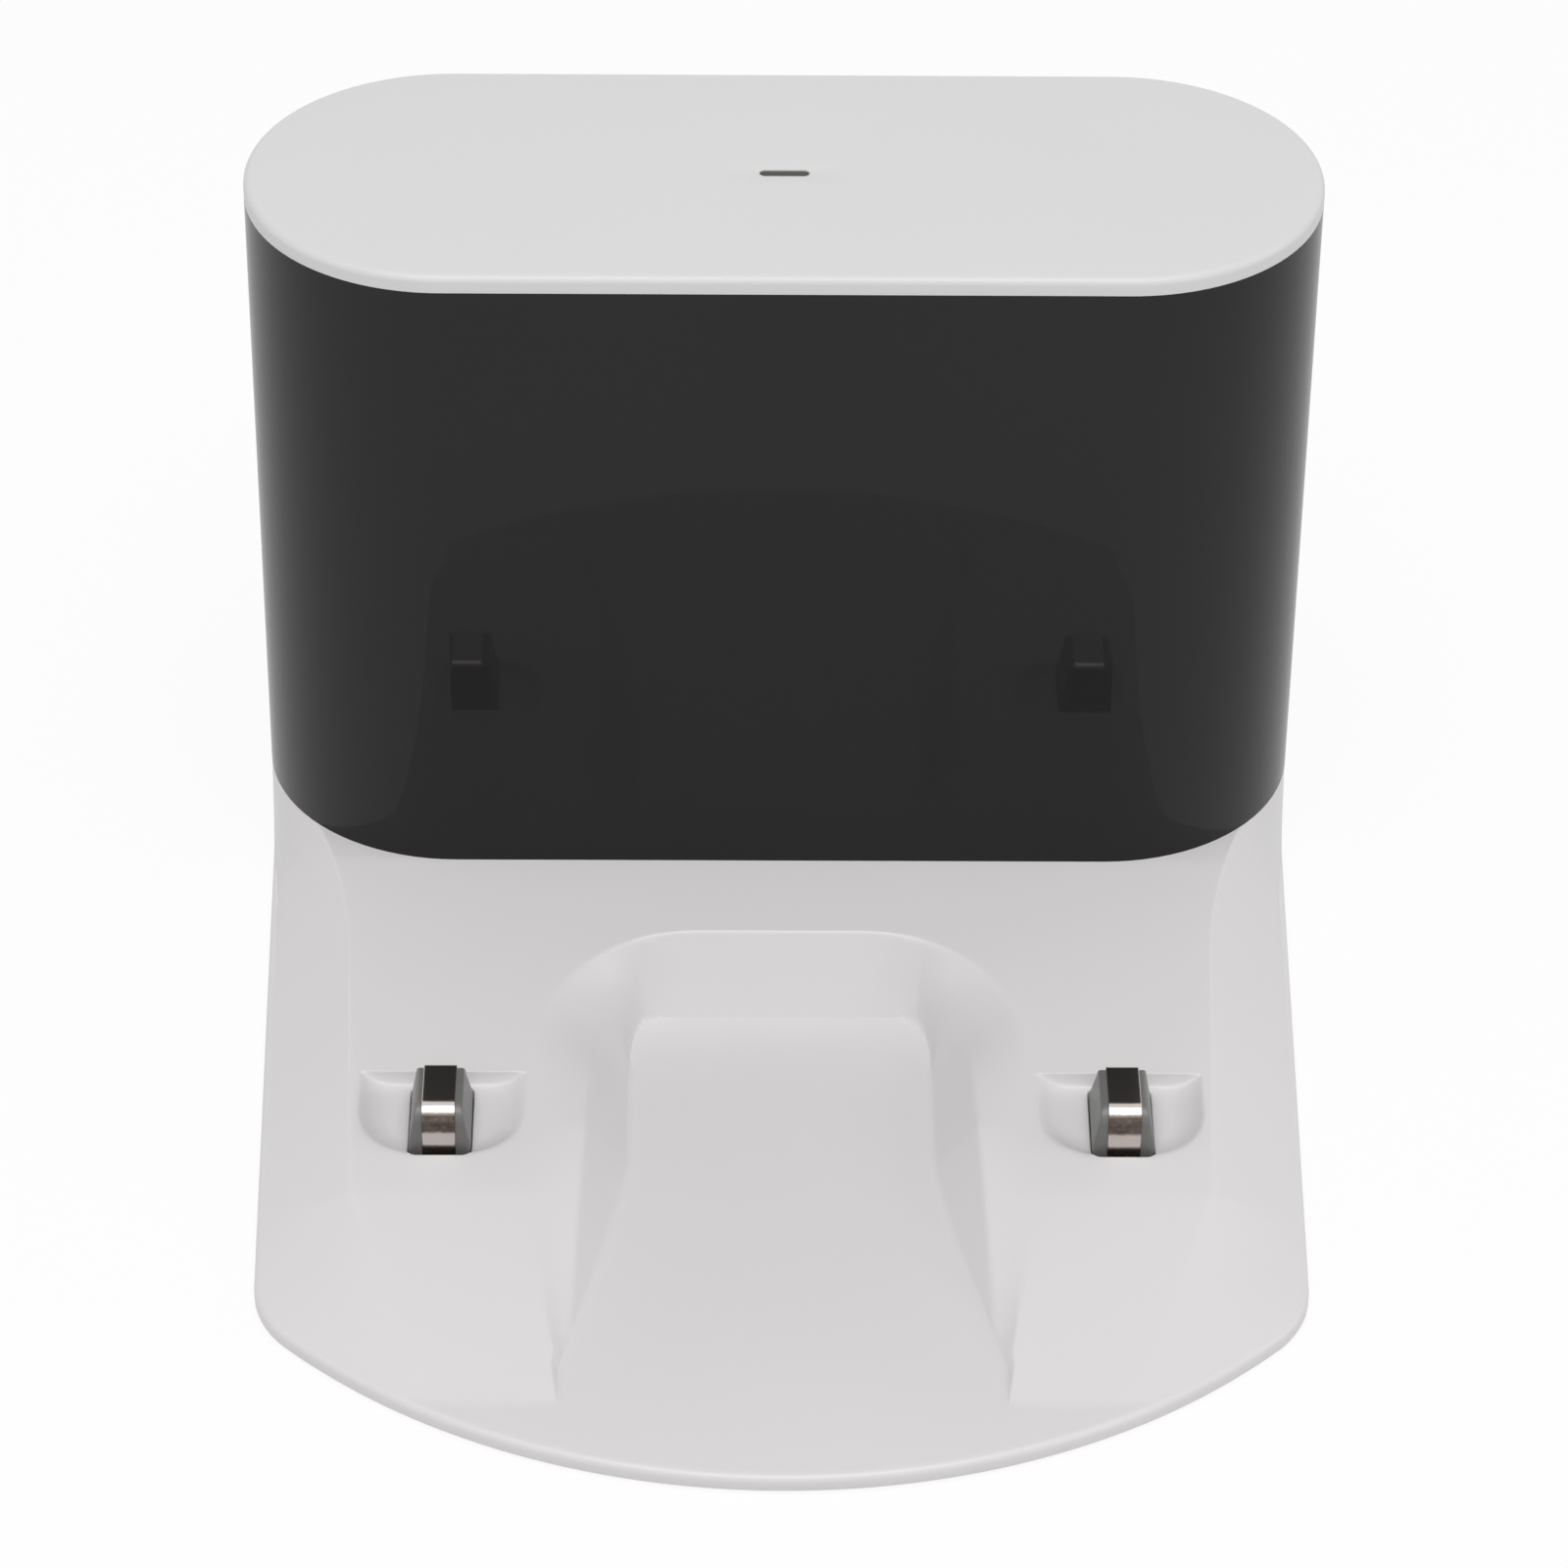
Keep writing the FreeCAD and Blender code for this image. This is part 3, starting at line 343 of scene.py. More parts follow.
baseForm = {
    # plan, ramps and the band along each side
    "lipTop": 2.4, "lipRadius": 0.8, "lipEase": 20.0, "lipSoft": 0.15, "lipAngles": (18, 36, 54, 72, 90),
    "frontRadius": 81.0, "cornerRadius": 14.0, "sideTaper": 2.0,
    "rampFoot": -63.0, "rampTop": -31.5, "rampTopHeight": 7.5, "rampSoft": 0.06, "rampFootInset": 2.0,
    "edgeNear": 51.0, "edgeFar": 53.4, "edgeFarAt": 16.0, "edgeSoft": 0.25, "leastBandSide": 0.12,
    "rearRise": 44.0, "flareFrom": 10.0, "flareTo": 34.4, "flare": 4.1, "flareMost": 2,
    "notchHalf": 4.5, "notchDepth": 6.0,
    # inset and height of the rings under the lip
    "skirt": ((0.0, 0.7), (0.1, 0.46), (0.35, 0.4), (1.4, 0.4), (1.6, 0.6)),
    # trough
    "floorFar": 18.4, "floorNarrow": 1.5, "floorGrow": 6.6, "floorGrowFrom": -20.0, "floorGrowOver": 33.6,
    "floorMost": 1.1, "floorPower": 1.25, "floorBack": 8.4, "floorCorner": 0.8, "floorSoft": 0.5,
    "backSoft": 0.12, "foldFar": 22.4, "foldGrow": 2.35, "foldGrowOver": 54.0, "foldPower": 0.85,
    "foldBack": 8.4, "foldCorner": 8.0, "foldSquash": 0.4, "foldSoft": 0.4, "backLift": 2.2,
    "facetSlope": 1.2, "facetSteeper": 0.15, "facetFrom": -25.0, "facetTo": -5.0,
    "rimFar": 29.0, "rimMid": 30.2, "rimNear": 25.2, "rimPower": 2, "rimBack": 13.6, "rimCorner": 19.0,
    "leastBand": 1.2, "rimSoft": 0.2, "rimBackSoft": 0.3, "troughHalf": 37.0,
    "fullRoom": 3, "leastRoom": 0.05, "carveMargin": 3,
    # dishes, and the slots and wells in them
    "contactAt": 40.7, "dishBack": -11.2, "dishHalf": 9.9, "dishMiddle": -17.0, "dishFrontRun": 8.3,
    "dishPower": 2.4, "dishSlope": 0.75, "dishDepth": 1.5, "dishWall": 2.6, "dishCorner": 1.0, "dishFoot": 1.3,
    "dishSoft": 0.06, "dishReach": 14.0,
    "slotHalf": 3.95, "slotFront": -25.4, "slotBack": -12.0, "slotCorner": 1.2, "slotEdge": 0.15,
    "slotRound": ((0.3, 0.1), (0.8, 0.5), (1.0, 1.4)), "slotRoof": 6.55, "wellGrow": 3.0, "wellFloor": 2.7,
    # columns of the grid: steps in each zone from the middle outwards, and where the zones' edges are held
    "zoneSteps": (3, 1, 18, 20, 22, 9, 14, 12, 6), "slotZone": 6,
    "sideShares": (0, 0.015, 0.03, 0.05, 0.08, 0.13, 0.22, 0.36, 0.56, 0.78, 0.93, 0.985, 1.0),
    "rimMargin": 1.5, "rimRoom": 8.0, "leastFold": 0.5, "edgeMargin": 1.5,
    "slotHeldFrom": -27.0, "slotHeldTo": -11.0, "slotFree": -1.0, "slotShares": (0.27, 0.70),
    "notchFrom": 30.0, "notchShares": (0.22, 0.30), "notchStep": 0.02,
    # rows of the grid: straight rows from the bend to the head, bent ones in front of them and behind
    "rowBend": -33.0, "rowDish": -30.0, "rowDishBack": -10.9, "rowTrough": -3.0, "rowNear": 0.8,
    "rowSteps": (10, 9, 30, 22, 17, 28, 10, 12, 12, 16, 10, 18),
    "frontRows": 60, "rearRows": 16, "bendTries": 12,
}


# one moulded skin: plan of the base, ramps, trough with folded sides, contact dishes, lip and skirt
def baseSkin(form):
    low, high = nodeBox("front_window")
    wall = low[1]
    backY = nodeBox("rear_shell")[1][1] - trim
    frontY = cadBox[0][1] / mm + trim
    headRadius = (backY + trim - wall) / 2 - trim
    headY = backY - headRadius
    headX = high[0] - trim - headRadius
    deck = low[2]
    lipTop = form["lipTop"]
    taper = math.radians(form["sideTaper"])
    frontRadius = form["frontRadius"]
    cornerRadius = form["cornerRadius"]
    frontCentre = frontY + frontRadius
    # corner circle: inside the side line by its radius, and inside the front circle by its radius
    startX = headX + math.cos(taper) * (headRadius - cornerRadius)
    startY = headY - math.sin(taper) * (headRadius - cornerRadius) - frontCentre
    halfB = -startX * math.sin(taper) - startY * math.cos(taper)
    restC = startX ** 2 + startY ** 2 - (frontRadius - cornerRadius) ** 2
    run = -halfB + math.sqrt(halfB ** 2 - restC)
    cornerX = startX - run * math.sin(taper)
    cornerY = startY - run * math.cos(taper) + frontCentre
    turn = math.atan2(cornerY - frontCentre, cornerX)

    # half width of the plan at y: head circle, tapered side, corner circle, front circle
    def planHalf(y):
        sideTop = headY - headRadius * math.sin(taper)
        sideEnd = cornerY - cornerRadius * math.sin(taper)
        cornerEnd = cornerY + cornerRadius * math.sin(turn)
        headArc = headX + np.sqrt(np.maximum(headRadius ** 2 - (y - headY) ** 2, 0))
        side = headX + headRadius * math.cos(taper) - (sideTop - y) * math.tan(taper)
        cornerArc = cornerX + np.sqrt(np.maximum(cornerRadius ** 2 - (y - cornerY) ** 2, 0))
        frontArc = np.sqrt(np.maximum(frontRadius ** 2 - (y - frontCentre) ** 2, 0))
        nearHalf = np.where(y >= cornerEnd, cornerArc, frontArc)
        return np.where(y >= sideTop, headArc, np.where(y >= sideEnd, side, nearHalf))

    # how far the lip's rounding sets the top edge in: eased from nothing at the head to the lip's radius
    def lipInset(y):
        return form["lipRadius"] * ease(headY - y, 0, form["lipEase"])

    # height of the middle of the top: plateau line and ramp line, the lower of them, down to the lip
    def topHeight(y):
        plateau = deck + (form["rampTopHeight"] - deck) * (wall - y) / (wall - form["rampTop"])
        rise = (form["rampTopHeight"] - lipTop) / (form["rampTop"] - form["rampFoot"])
        ramp = lipTop + (y - form["rampFoot"]) * rise
        return softMax(softMin(np.minimum(plateau, deck), ramp, form["rampSoft"]), lipTop, form["lipSoft"])

    # edge between the top and the side band: a line along the plateau that flares out to the head's corner
    def edgeHalf(y):
        slope = (form["edgeFar"] - form["edgeNear"]) / (form["edgeFarAt"] - form["rampTop"])
        line = form["edgeNear"] + (y - form["rampTop"]) * slope
        lift = np.clip((y - form["flareFrom"]) / (form["flareTo"] - form["flareFrom"]), 0, form["flareMost"])
        plateau = line + form["flare"] * lift ** 2
        share = np.clip((form["rampTop"] - y) / (form["rampTop"] - form["rampFoot"]), 0, 1)
        footHalf = planHalf(np.full_like(y, form["rampFoot"])) - form["rampFootInset"]
        ramp = form["edgeNear"] + (footHalf - form["edgeNear"]) * share
        headEdge = headX + np.sqrt(np.maximum(headRadius ** 2 - (y - headY) ** 2, 0))
        rear = np.where(y > headY, high[0], headEdge)
        return np.where(y < form["rampTop"], ramp, np.where(y > form["flareTo"], rear, plateau))

    # half width of the trough's flat floor: drawn in at the back, growing by a power of the way to the front
    def floorHalf(y):
        share = np.clip((form["floorGrowFrom"] - y) / form["floorGrowOver"], 0, form["floorMost"])
        narrow = form["floorNarrow"] * ease(y, form["facetTo"], form["floorBack"])
        return form["floorFar"] - narrow + form["floorGrow"] * share ** form["floorPower"]

    # half width of the fold above the floor: grows by a power of the way to the front
    def foldHalf(y):
        share = np.maximum(-y, 0) / form["foldGrowOver"]
        return form["foldFar"] + form["foldGrow"] * share ** form["foldPower"]

    # slope of the trough's side planes: eased to a steeper one toward the back
    def facetSlope(y):
        return form["facetSlope"] + form["facetSteeper"] * ease(y, form["facetFrom"], form["facetTo"])

    # half width of the trough's rim: by a power of the way from its back to the ramp, then a straight line
    def rimHalf(y):
        far = np.clip((form["rimBack"] - y) / (form["rimBack"] - form["rampTop"]), 0, 1)
        near = np.clip((form["rampTop"] - y) / (form["rampTop"] - form["rampFoot"]), 0, 1)
        middle = form["rimFar"] + (form["rimMid"] - form["rimFar"]) * far ** form["rimPower"]
        return middle + (form["rimNear"] - form["rimMid"]) * near

    # distance outside a U with round corners, and the turn of the nearest point on it: none at its sides, a
    # right angle at its back
    def roundU(x, y, half, back, radius):
        across = np.abs(x) - half + radius
        along = y - back + radius
        outside = np.hypot(np.maximum(across, 0), np.maximum(along, 0))
        distance = outside + np.minimum(np.maximum(across, along), 0) - radius
        angle = np.arctan2(np.maximum(along, 0), np.maximum(across, tiny))
        inner = np.where(along > across, math.pi / 2, 0)
        return distance, np.where((across <= 0) & (along <= 0), inner, angle)

    # the trough: a plane from the floor up to the fold, then a ruled band to the rim; at the back the fold
    # comes down to the floor, round a corner longer than it is wide, so the band is a wall
    def troughHeight(x, y, top):
        half, radius, back, squash = foldHalf(y), form["foldCorner"], form["foldBack"], form["foldSquash"]
        beyond, angle = roundU(x, y * squash, half, back * squash, radius)
        bend = ease(angle / (math.pi / 2), 0, 1)
        reach = beyond * (1 + (1 / squash - 1) * bend)
        footX = np.where(np.abs(x) > half - radius, half - radius + radius * np.cos(angle), np.abs(x))
        footY = np.where((y - back) * squash > -radius, back + (np.sin(angle) - 1) * radius / squash, y)
        fromFloor, _ = roundU(x, y, floorHalf(y), form["floorBack"], form["floorCorner"])
        footRise, _ = roundU(footX, footY, floorHalf(footY), form["floorBack"], form["floorCorner"])
        foldHeight = lipTop + facetSlope(footY) * np.maximum(footRise, 0)
        facet = lipTop + facetSlope(y) * fromFloor + form["backLift"] * bend * np.maximum(reach, 0)
        toRim, _ = roundU(x, y, rimHalf(y), form["rimBack"], form["rimCorner"])
        band = foldHeight + (top - foldHeight) * reach / np.maximum(reach - toRim, form["leastBand"])
        room = np.clip((top - lipTop) / form["fullRoom"], form["leastRoom"], 1)
        soft = (form["floorSoft"] + (form["backSoft"] - form["floorSoft"]) * bend) * room
        return softMax(softMin(facet, band, form["foldSoft"] * room), lipTop, soft), bend

    # a bowl round each contact: ends and front slope down from a rounded outline, the straight back is
    # steeper, and all are rounded into a level bottom
    def dishHeight(x, y, z):
        across = np.abs(np.abs(x) - form["contactAt"]) / form["dishHalf"]
        along = np.maximum(form["dishMiddle"] - y, 0) / form["dishFrontRun"]
        share = (across ** form["dishPower"] + along ** form["dishPower"]) ** (1 / form["dishPower"])
        ends = form["dishSlope"] * form["dishHalf"] * (1 - share)
        behind = form["dishWall"] * (form["dishBack"] - y)
        return z - softMin(softMin(ends, behind, form["dishCorner"]), form["dishDepth"], form["dishFoot"])

    # height of the whole top: the lower of the top and the side band, with the trough and the dishes cut in
    def height(x, y):
        top = topHeight(y)
        edge = planHalf(y) - lipInset(y)
        share = (edge - np.abs(x)) / np.maximum(edge - edgeHalf(y), form["leastBandSide"])
        rim = lipTop + (deck - lipTop) * ease(y, form["rearRise"], headY)
        band = rim + (top - rim) * share
        z = softMin(top, np.where(y >= headY, top, band), form["edgeSoft"])
        z = np.maximum(z, np.minimum(lipTop, top))
        trough, bend = troughHeight(x, y, top)
        soft = form["rimSoft"] + (form["rimBackSoft"] - form["rimSoft"]) * bend
        carved = np.maximum(softMin(z, trough, soft), lipTop)
        margin = form["carveMargin"]
        inTrough = (y < form["rimBack"] + margin) & (np.abs(x) < form["troughHalf"])
        z = np.where(inTrough, carved, z)
        inDish = (np.abs(np.abs(x) - form["contactAt"]) < form["dishReach"]) & (y < form["dishBack"] + margin)
        inDish &= y > form["rampTop"]
        return np.where(inDish, softMin(z, dishHeight(x, y, z), form["dishSoft"]), z)

    # columns across one half, zone by zone, at each point's own y, out to the row's own edge
    def columns(y, outer):
        edge = np.minimum(edgeHalf(y), outer - form["leastBandSide"])
        rim = np.minimum(rimHalf(y) + form["rimMargin"], edge - form["rimRoom"])
        floor = floorHalf(y)
        fold = np.maximum(foldHalf(y), floor + form["leastFold"])
        wide = edge - form["edgeMargin"]
        freed = ease(y, form["slotHeldTo"], form["slotFree"])
        held = ease(y, form["rowBend"], form["slotHeldFrom"]) * (1 - freed)
        inShare, outShare = form["slotShares"]
        slotIn = held * (form["contactAt"] - form["slotHalf"]) + (1 - held) * (rim + inShare * (wide - rim))
        slotOut = held * (form["contactAt"] + form["slotHalf"]) + (1 - held) * (rim + outShare * (wide - rim))
        rear = ease(y, form["notchFrom"], headY)
        inShare, outShare = form["notchShares"]
        notchIn = (1 - rear) * (floor * inShare) + rear * (form["notchHalf"] - form["notchStep"])
        notchOut = (1 - rear) * (floor * outShare) + rear * (form["notchHalf"] + form["notchStep"])
        return np.stack([0 * y, notchIn, notchOut, floor, fold, rim, slotIn, slotOut, wide, edge, outer])

    shares = [spread((0, 1, steps)) for steps in form["zoneSteps"]]
    shares.append(np.array(form["sideShares"]))
    zone = np.concatenate([np.full(len(part) - 1, i) for i, part in enumerate(shares)] + [[len(shares) - 1]])
    within = np.concatenate([part[:-1] for part in shares] + [[1.0]])
    slotColumns = (int(np.argmax(zone == form["slotZone"])), int(np.argmax(zone == form["slotZone"] + 1)))
    count = len(zone)

    # x across the right half for a grid of own y values, one edge value per row
    def halfColumns(y, outer):
        knots = columns(y, np.broadcast_to(outer, y.shape))
        pick = np.broadcast_to(zone, y.shape)
        first = np.take_along_axis(knots, pick[None], axis=0)[0]
        second = np.take_along_axis(knots, pick[None] + 1, axis=0)[0]
        return first + (second - first) * within

    bendY, near = form["rowBend"], form["rowNear"]
    slotFront, slotBack = form["slotFront"], form["slotBack"]
    floorBack, rimBack = form["floorBack"], form["rimBack"]
    stops = [bendY, form["rowDish"], slotFront, slotBack, form["rowDishBack"], form["rowTrough"],
             floorBack - near, floorBack + near, rimBack - near, rimBack + near, wall, form["flareTo"], headY]
    middleRows = spread(*zip(stops[:-1], stops[1:], form["rowSteps"]))
    middleY = np.repeat(middleRows[:, None], count, axis=1)
    middleX = halfColumns(middleY, (planHalf(middleRows) - lipInset(middleRows))[:, None])

    # rows that go over evenly from a straight row to the front arc or the back, found by repeated tries
    def bentRows(shareRows, startY, sideEndY, edgeOf):
        sideY = startY + (sideEndY - startY) * shareRows
        outer = planHalf(sideY) - lipInset(sideY)
        endY = np.full((1, count), sideEndY)
        for _ in range(form["bendTries"]):
            endY = edgeOf(halfColumns(endY, outer[-1:, None]))
        y = startY + (endY - startY) * shareRows[:, None]
        return halfColumns(y, outer[:, None]), y

    frontInner = frontRadius - form["lipRadius"]
    frontCornerY = frontCentre + frontInner * math.sin(turn)

    # y of the front edge at x: a circle inside the front one by the lip's radius
    def frontEdge(x):
        return frontCentre - np.sqrt(frontInner ** 2 - x ** 2)

    # y of the back edge at x: the head's circle and straight back, with the cord's notch in the middle
    def backEdge(x):
        arc = headY + np.sqrt(np.maximum(headRadius ** 2 - np.maximum(x - headX, 0) ** 2, 0))
        return np.where(x < form["notchHalf"], backY - form["notchDepth"], arc)

    frontShares = np.linspace(0, 1, form["frontRows"])[1:]
    frontX, frontRowY = bentRows(frontShares, bendY, frontCornerY, frontEdge)
    rearShares = np.linspace(0, 1, form["rearRows"])[1:]
    rearX, rearRowY = bentRows(rearShares, headY, headY + headRadius * math.sin(math.pi / 4), backEdge)
    rightX = np.concatenate([frontX[::-1], middleX, rearX])
    rightY = np.concatenate([frontRowY[::-1], middleY, rearRowY])
    x = np.concatenate([-rightX[:, :0:-1], rightX], axis=1)
    y = np.concatenate([rightY[:, :0:-1], rightY], axis=1)
    rows, across = x.shape
    index = np.arange(rows * across).reshape(rows, across)

    # slot openings: quads between the slot's rows and columns are left out, and the loop round each is kept
    firstRow = len(frontX) + int(np.argmin(np.abs(middleRows - slotFront)))
    lastRow = len(frontX) + int(np.argmin(np.abs(middleRows - slotBack)))
    keep = np.ones((rows - 1, across - 1), bool)
    slotMiddle = (slotFront + slotBack) / 2
    slotLong = (slotBack - slotFront) / 2
    corner = form["slotCorner"]
    loops = []
    for sign in (-1, 1):
        first, last = sorted(count - 1 + sign * place for place in slotColumns)
        keep[firstRow:lastRow, first:last] = False
        bottom, right = index[firstRow, first:last], index[firstRow:lastRow, last]
        top, left = index[lastRow, last:first:-1], index[lastRow:firstRow:-1, first]
        loop = np.concatenate([bottom, right, top, left])
        # the loop's corners are drawn in to quarter circles
        middle = sign * form["contactAt"]
        aside, ahead = x.flat[loop] - middle, y.flat[loop] - slotMiddle
        coreX, coreY = form["slotHalf"] - corner, slotLong - corner
        restX, restY = np.maximum(np.abs(aside) - coreX, 0), np.maximum(np.abs(ahead) - coreY, 0)
        shrink = np.where((restX > 0) & (restY > 0), corner / np.maximum(np.hypot(restX, restY), tiny), 1)
        x.flat[loop] = middle + np.sign(aside) * (np.minimum(np.abs(aside), coreX) + restX * shrink)
        y.flat[loop] = slotMiddle + np.sign(ahead) * (np.minimum(np.abs(ahead), coreY) + restY * shrink)
        loops.append(loop)

    z = height(x, y)
    z[len(frontX) + len(middleRows):] = deck
    surfacePoints = np.stack([x, y, z], axis=-1).reshape(-1, 3)
    points = [surfacePoints]
    faces = gridQuads(index)[keep.reshape(-1)].tolist()
    flatten = np.array([1, 1, 0])
    up = np.array([0, 0, 1.0])

    # outward direction in plan at each point of a closed loop, square to the line between its neighbours
    def sideways(spot):
        along = np.roll(spot, -1, axis=0) - np.roll(spot, 1, axis=0)
        square = np.stack([along[:, 1], -along[:, 0], 0 * along[:, 0]], axis=-1)
        return square / np.linalg.norm(square, axis=1)[:, None]

    # adds rings of points below a closed loop and the quads between them, and closes the last ring
    def addRings(loop, rings, outer):
        last = loop
        for ring in rings:
            here = sum(len(part) for part in points) + np.arange(len(ring))
            points.append(ring)
            around = np.stack([last, np.roll(last, -1), np.roll(here, -1), here], axis=-1)
            faces.extend((around[:, ::-1] if outer else around).tolist())
            last = here
        faces.append((last[::-1] if outer else last).tolist())

    # a well under each slot: rounded edge, wall, then a wider room for the carrier's flange
    for loop in loops:
        spot = surfacePoints[loop]
        out = sideways(spot)
        plan = spot * flatten
        edge = form["slotEdge"]
        rings = [spot - out * edge * inward - up * edge * down for inward, down in form["slotRound"]]
        rings.append(plan - out * edge + up * form["slotRoof"])
        rings.append(plan + out * form["wellGrow"] + up * form["slotRoof"])
        rings.append(plan + out * form["wellGrow"] + up * form["wellFloor"])
        addRings(loop, rings, False)

    # outer loop, anticlockwise from above, then the rounded lip, the wall and the underside
    loop = np.concatenate([index[0, :-1], index[:-1, -1], index[-1, :0:-1], index[:0:-1, 0]])
    spot = surfacePoints[loop]
    out = sideways(spot)
    reach = out * lipInset(spot[:, 1])[:, None]
    sink = up * (spot[:, 2:] - (lipTop - form["lipRadius"]))
    rings = []
    for angle in np.radians(form["lipAngles"]):
        rings.append(spot + reach * math.sin(angle) - sink * (1 - math.cos(angle)))
    for inset, level in form["skirt"]:
        rings.append((spot + reach - out * inset) * flatten + up * level)
    addRings(loop, rings, True)
    return np.concatenate(points), faces


points, faces = baseSkin(baseForm)
addPiece("baseSkin", points, faces, "dock", "white_shell", ["base_shell"], sharpAngle=50)

springForm = {
    "springAt": -20.2, "springRadius": 1.75, "springWire": 0.25, "springTurns": 6, "springLow": 2.8,
    "springTop": 12.0, "turnSteps": 40, "wireSteps": 12, "press": 2.0,
}


# coil spring: circles across the wire, carried along a helix, which rises evenly as it turns
def springSkin(form, middle):
    turns, wire = form["springTurns"], form["springWire"]
    share = np.linspace(0, 1, turns * form["turnSteps"] + 1)[:, None]
    angle = 2 * math.pi * turns * share
    low, high = form["springLow"] + wire, form["springTop"] - wire
    around = np.linspace(0, 2 * math.pi, form["wireSteps"], endpoint=False)
    reach = form["springRadius"] + wire * np.cos(around)
    x = middle + reach * np.cos(angle)
    y = form["springAt"] + reach * np.sin(angle)
    z = low + (high - low) * share - wire * np.sin(around)
    rings = np.stack([x, y, z], axis=-1)
    return rings.reshape(-1, 3), stackFaces(rings.shape[0], rings.shape[1])


carrierForm = {
    "carrierTop": 13.65, "carrierFront": -24.05, "carrierBack": -15.05, "frontBend": 1.85, "backBend": 1.1,
    "carrierHalf": 2.8, "sideDraft": 0.16, "widest": 3.7, "frontDraft": 0.03, "backDraft": 0.55,
    "backDraftFrom": 12.5, "rearmost": -12.95, "sideEdge": 0.45, "carrierLevels": (7.5, 8.5, 9.5),
    "bendSteps": 17, "cornerRadius": 0.9, "cornerOver": 3, "cornerLeast": 0.3,
    "flangeTop": 6.45, "flangeLow": 5.56, "flangeGrow": 1.5, "flangeBackGrow": 0.5,
    "boreGap": 0.25, "boreFlat": 0.05, "boreRise": 0.04,
}


# how far a round edge has come in at a height: the radius less the circle's own half chord there
def edgeIn(z, top, radius):
    up = np.clip(z - (top - radius), 0, radius)
    return radius - np.sqrt(np.maximum(radius ** 2 - up ** 2, 0))


# grey carrier: rings from the roof of the spring's bore down to the flange, then rounded rectangles stacked up
# from the flange to the top, drafted, with bends at the front and the back
def carrierSkin(form, spring, middle):
    top = form["carrierTop"]
    angle = np.linspace(0, math.pi / 2, form["bendSteps"])
    arc = top - form["frontBend"] * (1 - np.sin(angle))
    flange = [form["flangeLow"], form["flangeTop"], form["flangeTop"]]
    z = np.concatenate([flange, form["carrierLevels"], arc])
    grow = np.where(np.arange(len(z)) < 2, form["flangeGrow"], 0)  # the first two rings are the flange
    drop = top - z
    half = np.minimum(form["carrierHalf"] + form["sideDraft"] * drop, form["widest"])
    half = half - edgeIn(z, top, form["sideEdge"]) + grow
    front = form["carrierFront"] - form["frontDraft"] * drop + edgeIn(z, top, form["frontBend"]) - grow
    back = form["carrierBack"] + form["backDraft"] * np.maximum(form["backDraftFrom"] - z, 0)
    backGrow = np.minimum(grow, form["flangeBackGrow"])
    back = np.minimum(back, form["rearmost"]) - edgeIn(z, top, form["backBend"]) + backGrow
    radius = form["cornerRadius"] * np.clip(drop / form["cornerOver"], form["cornerLeast"], 1)
    outside = roundedRings(middle, (front + back) / 2, half, (back - front) / 2, radius, z)
    bore = np.full(2, spring["springRadius"] + spring["springWire"] + form["boreGap"])
    ends = np.array([spring["springTop"] + form["boreRise"], form["flangeLow"]])
    inside = roundedRings(middle, spring["springAt"], bore, bore, bore - form["boreFlat"], ends)
    rings = np.concatenate([inside, outside])
    return rings.reshape(-1, 3), stackFaces(rings.shape[0], rings.shape[1])


plateForm = {
    "plateTop": 14.0, "plateLow": 6.9, "plateFront": -24.4, "plateBack": -14.7, "plateFrontBend": 2.2,
    "plateBackBend": 1.45, "plateHalf": 1.97, "plateThick": 0.4, "plateEdge": 0.1, "plateSteps": 25,
    "legSteps": 4,
}


# metal strip: a thin rounded rectangle carried up the back of the carrier, over its top and down its front
def plateSkin(form, middle):
    top, low, steps = form["plateTop"], form["plateLow"], form["legSteps"]
    # each leg's place, the way from it to the middle, its bend's radius, and whether the path comes down it
    bends = ((form["plateBack"], -1, form["plateBackBend"], False),
             (form["plateFront"], 1, form["plateFrontBend"], True))
    path, normal = [], []
    for end, inward, bend, comesDown in bends:
        angle = np.linspace(0, math.pi / 2, form["plateSteps"])
        arc = np.stack([end + inward * bend * (1 - np.cos(angle)), top - bend * (1 - np.sin(angle))], axis=-1)
        out = np.stack([-inward * np.cos(angle), np.sin(angle)], axis=-1)
        line = np.stack([np.full(steps, end), np.linspace(low, top - bend, steps + 1)[:steps]], axis=-1)
        level = np.stack([np.full(steps, -inward), np.zeros(steps)], axis=-1)
        run, turns = np.concatenate([line, arc]), np.concatenate([level, out])
        path.append(run[::-1] if comesDown else run)
        normal.append(turns[::-1] if comesDown else turns)
    path, normal = np.concatenate(path), np.concatenate(normal)
    half, thick, edge = form["plateHalf"], form["plateThick"], form["plateEdge"]
    ring = roundedRings(0, 0, np.array([half]), np.array([thick / 2]), np.array([edge]), np.zeros(1))
    section = ring[0][:, :2]
    x = np.broadcast_to(middle + section[:, 0], (len(path), len(section)))
    depth = section[:, 1] - thick / 2
    y = path[:, :1] + normal[:, :1] * depth
    z = path[:, 1:] + normal[:, 1:] * depth
    rings = np.stack([x, y, z], axis=-1)
    return rings.reshape(-1, 3), stackFaces(rings.shape[0], rings.shape[1])


